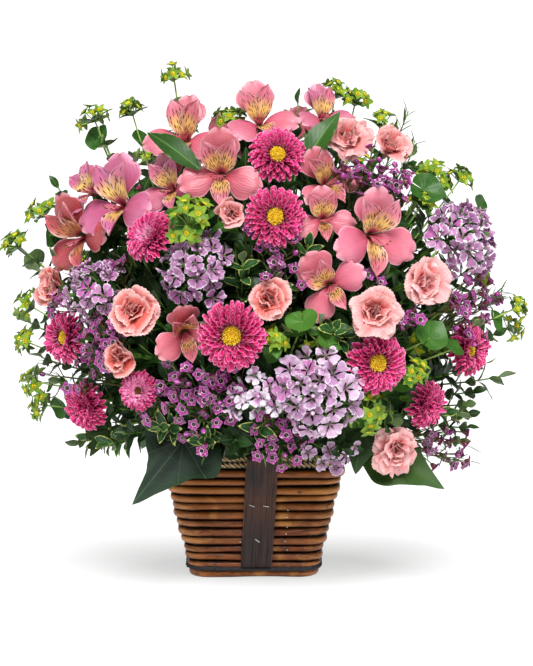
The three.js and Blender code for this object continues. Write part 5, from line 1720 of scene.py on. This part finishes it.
# How light each rod is, from the lowest up: partly each rod's own tone, partly painted shade that darkens
# the lower rods.
ROD_TONES_AND_SHADE = [0.3, 0.12, 0.2, 0.05, 0.34, 0.1, 0.22, 0.5, 0.4, 0.8, 1.0, 0.7, 0.35]
BINDING_COURSE = 1.12            # the dark binding's height, in courses of rods
BINDING_TURNS = 90               # of each strand round the other
RIM_TURNS = 68                   # of a rim cord's two strands


def add_rods():
    """The wall's rods, and a dark binding of two strands laid over the gap above the lowest one."""
    piece = Piece("basket_rods")
    rng = np.random.default_rng(5)
    pitch = WALL_HEIGHT / ROD_COURSES
    for course in range(ROD_COURSES):
        height = (course + 0.5) * pitch
        radius = ROD_RADIUS * (1.04 if course == 0 else rng.uniform(0.82, 1.08))
        path, share = square_path(wall_half(height) - ROD_RADIUS, CORNER_RADIUS - ROD_RADIUS, height, 2.6)
        path[:, 2] += wobble(share, rng, 0.42)
        path += outward_of(path) * (rng.uniform(-0.9, 0.9) + wobble(share, rng, 0.3))[:, None]
        radii = radius * (1 + wobble(share, rng, 0.045, 18))
        closed_tube(piece, path, radii, "rod_stain_and_painted_light", ROD_TONES_AND_SHADE[course], 14, 0.93)
    height = BINDING_COURSE * pitch
    for strand in range(2):
        path, share = square_path(wall_half(height) - 1.0, CORNER_RADIUS - 1.0, height, 1.3)
        phase = 2 * math.pi * (BINDING_TURNS * share + strand / 2)
        path += outward_of(path) * (0.6 + np.cos(phase))[:, None]
        path[:, 2] += 1.1 * np.sin(phase) + wobble(share, rng, 0.3, 4)
        radii = 1.3 + wobble(share, rng, 0.1, 40)
        closed_tube(piece, path, radii, "dark_binding", rng.random(), 6)
    add_nails(piece)
    piece.build("rod_wall", "rods")


# The nails that hold the batten: x and height.
NAILS = [(27.8, 59.5), (27, 53.4), (27.1, 44.7), (26.3, 38.6), (25.5, 32.4), (27.1, 24.5), (-10.9, 31.5)]


def add_nails(piece):
    for x, height in NAILS:
        place = frame_at(np.array([x, -wall_half(height) - 0.3, height]), facing(0, -13))
        profile = [(0.4, -2), (0.4, 0.1), (0.65, 0.2), (0.5, 0.5), (0.1, 0.6)]
        turned(piece, place, "staple_metal", profile, 0.5, 8)


def add_rim():
    """Two cords of two strands each, one on the other."""
    piece = Piece("basket_rim")
    rng = np.random.default_rng(8)
    inset = RIM_WIDTH / 2
    for layer in range(2):
        height = WALL_HEIGHT + GAP + RIM_HEIGHT * (0.27 + 0.46 * layer)
        for strand in range(2):
            path, share = square_path(wall_half(height) - inset, CORNER_RADIUS - inset, height, 0.8)
            phase = 2 * math.pi * (strand / 2 - RIM_TURNS * share)
            path += outward_of(path) * (2.3 * np.cos(phase) + wobble(share, rng, 0.1))[:, None]
            path[:, 2] += 1.7 * np.sin(phase)
            closed_tube(piece, path, 1.55, "rim_cord", rng.random(), 10)
    piece.build("rim_braid", "rim_cord")


def add_slat(node, side, shift, skew, staples):
    """A board on the sloping wall, a little worn at its edges, and stapled where staples says."""
    piece = Piece(node + "_board")
    rng = np.random.default_rng(13 if side < 0 else 14)
    sections = 24
    around = np.array([-0.9, 0.9, 1, 1, 0.95, 0.5, 0, -0.5, -0.95, -1, -1])
    columns = len(around)
    thick = SLAT_THICKNESS - 0.2
    rings = []
    for share in np.linspace(0, 1, sections):
        height = SLAT_FOOT + share * (SLAT_HEAD - SLAT_FOOT)
        half = SLAT_WIDTH / 2 - 0.3 * rng.random() * (0 < share < 1)
        end = 0.6 if share in (0, 1) else 0
        edge, face = half - end, thick - end * 0.5
        x = np.array([0.4 - edge, edge - 0.4, edge, edge, edge - 0.9, half * 0.5, 0, -half * 0.5,
                      0.9 - edge, -edge, -edge])
        depth = np.array([0.1, 0.1, 0.6, thick - 0.8, face, thick, thick + 0.08, thick, face,
                          thick - 0.8, 0.6])
        x = x + shift + skew * (height - SLAT_FOOT)
        depth = side * (depth + wall_half(height) + GAP)
        rings.append(np.stack([-side * x, depth, np.full(columns, height)], -1))
    rings = np.array(rings)
    along = np.repeat(np.linspace(0, 1, sections), columns)
    marks = np.stack([np.tile(around, sections), along, np.full(sections * columns, 0.3)], -1)
    low_end = np.arange(columns)[None, ::-1]
    high_end = np.arange(columns)[None] + (sections - 1) * columns
    faces = [grid_faces(sections, columns, wrap=True), low_end, high_end]
    piece.add(rings.reshape(-1, 3), faces, marks, "slat_wood")
    for x, height, slope in staples:
        front = side * (wall_half(height) + GAP + SLAT_THICKNESS + 0.15)
        way = np.array([math.cos(slope), 0, math.sin(slope)]) * 2.2
        start, finish = np.array([x, front, height]) - way, np.array([x, front, height]) + way
        staple = [start - [0, side, 0], start, finish, finish - [0, side, 0]]
        tube(piece, staple, 0.5, "staple_metal")
    piece.build(node, "slat")


# Staples on each slat: x, height and slope.
FRONT_STAPLES = [(-1.5, 64, -0.4), (10.0, 63.5, -0.2), (3.0, 33.5, -0.6)]
BACK_STAPLES = [(0, 60, 0.2), (3, 30, -0.3)]
# The foam block from its foot up: height, inset from the wall, corner.
FOAM_RINGS = [
    (8, 12.4, 8), (60, 12.4, 8), (89, 12.4, 8), (97, 15, 9), (104, 18, 10), (110, 21, 12), (113, 24, 13),
    (FOAM_TOP, 29, 13),
]


def add_foam():
    """The wet block: cut with rounded shoulders, and pressed a little uneven."""
    piece = Piece("foam_block")
    rng = np.random.default_rng(3)
    rings = []
    for height, inset, corner in FOAM_RINGS:
        half = wall_half(min(height, 90)) - inset
        path, _ = square_path(half, corner, height, half / 16)
        even = np.linspace(0, len(path), 96, endpoint=False).astype(int)
        rings.append(path[even])
    rings = np.array(rings)
    rings[5:-1] += rng.normal(0, 0.25, rings[5:-1].shape)
    rings_skin(piece, rings, "foam_cells", 0.5)
    piece.build("foam", "foam")


def dress_plain_nodes():
    """The plain solids keep their shapes and get a finish."""
    for node, finish_name, slot in (
        ("floor_board", "board_wood", "board"),
        ("inner_batten", "board_wood", "board"),
        ("liner", "liner_plastic", "liner"),
    ):
        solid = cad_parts[node]
        solid.data.materials.clear()
        solid.data.materials.append(FINISHES[finish_name])


# ---------------------------------------------------------------- the studio
CAMERA_DISTANCE = 2.2            # metres from the middle of the view
CAMERA_ELEVATION = 8
VIEW_MIDDLE = (0.0104, 0.0, 0.1953)
VIEW_HEIGHT = 0.5528             # what the picture's height spans at the middle of the view
SKY_LIGHT = 0.15


def add_camera():
    data = bpy.data.cameras.new("camera")
    data.sensor_fit = "VERTICAL"
    data.sensor_height = 24
    data.lens = data.sensor_height * CAMERA_DISTANCE / VIEW_HEIGHT
    camera = bpy.data.objects.new("camera", data)
    tilt = math.radians(CAMERA_ELEVATION)
    x, y, z = VIEW_MIDDLE
    camera.location = (x, y - CAMERA_DISTANCE * math.cos(tilt), z + CAMERA_DISTANCE * math.sin(tilt))
    camera.rotation_euler = (math.pi / 2 - tilt, 0, 0)
    bpy.context.scene.collection.objects.link(camera)
    bpy.context.scene.camera = camera


def add_light(name, towards, softness, strength):
    """A broad studio light, which shines along towards."""
    data = bpy.data.lights.new(name, "SUN")
    data.angle = math.radians(softness)
    data.energy = strength
    light = bpy.data.objects.new(name, data)
    light.rotation_euler = Vector(towards).to_track_quat("-Z", "Y").to_euler()
    bpy.context.scene.collection.objects.link(light)


def add_studio():
    scene = bpy.context.scene
    scene.view_settings.view_transform = "Standard"
    world = bpy.data.worlds.new("studio")
    world.use_nodes = True
    graph = Graph(world.node_tree)
    background = world.node_tree.nodes["Background"]
    background.inputs["Color"].default_value = (1, 1, 1, 1)
    seen = graph.node("LightPath").outputs["Is Camera Ray"]
    graph.put(graph.span(seen, 0, 1, SKY_LIGHT, 1.0), background.inputs["Strength"])
    scene.world = world
    add_light("key", (-0.08, 0.6, -0.79), 30, 3.95)
    add_light("fill", (0.75, 0.6, -0.3), 60, 0.45)


def add_floor():
    """White and lit from within, with a soft shadow painted into its glow close to the basket."""
    mesh = bpy.data.meshes.new("floor")
    mesh.from_pydata([(-60, -60, 0), (60, -60, 0), (60, 60, 0), (-60, 60, 0)], [], [(0, 1, 2, 3)])
    floor = bpy.data.objects.new("floor", mesh)
    graph = Finish("floor_white_with_painted_shadow", 0.9, Emission_Strength=1.0)
    white = graph.mix(graph.effect("mottle", Scale=3.0), "FCFCFC", "FFFFFF")
    graph.paint(graph.mix(0.76, white, "000000"))
    seat = graph.node("Mapping", vector_type="TEXTURE")
    graph.put(graph.place(), seat.inputs["Vector"])
    seat.inputs["Location"].default_value = (0.01, -0.012, 0)
    seat.inputs["Scale"].default_value = (0.18, 0.09, 1)
    apart = graph.node("VectorMath", operation="LENGTH")
    graph.put(seat.outputs[0], apart.inputs[0])
    # The glow is dimmed in an ellipse round the basket's foot: a painted contact shadow.
    glow_with_painted_shadow = graph.span(apart.outputs["Value"], 0.5, 1.5, 0.62, 1.0)
    graph.put(graph.mix(glow_with_painted_shadow, "000000", white), graph.shader["Emission Color"])
    mesh.materials.append(FINISHES["floor_white_with_painted_shadow"])
    bpy.context.scene.collection.objects.link(floor)


def main():
    make_effects()
    make_aster_finishes()
    make_carnation_finish()
    make_dianthus_finishes()
    make_alstroemeria_finishes()
    make_waxflower_finishes()
    make_leaf_finishes()
    make_large_leaf_finish()
    make_stem_finishes()
    make_basket_finishes()
    make_spotted_finishes()
    for add_bloom, rows, first_seed in (
        (add_aster, ASTERS, 100),
        (add_carnation, CARNATIONS, 200),
        (add_dianthus, DIANTHUS, 300),
        (add_alstroemeria, ALSTROEMERIAS, 400),
        (add_waxflower, WAXFLOWERS, 500),
    ):
        for seed, (name, row) in enumerate(rows.items(), first_seed):
            add_bloom(name, row, seed)
    add_greenery()
    add_rods()
    add_rim()
    add_slat("front_slat", -1, SLAT_SHIFT, SLAT_SKEW, FRONT_STAPLES)
    add_slat("back_slat", 1, 0, 0, BACK_STAPLES)
    add_foam()
    dress_plain_nodes()
    add_camera()
    add_studio()
    add_floor()


main()
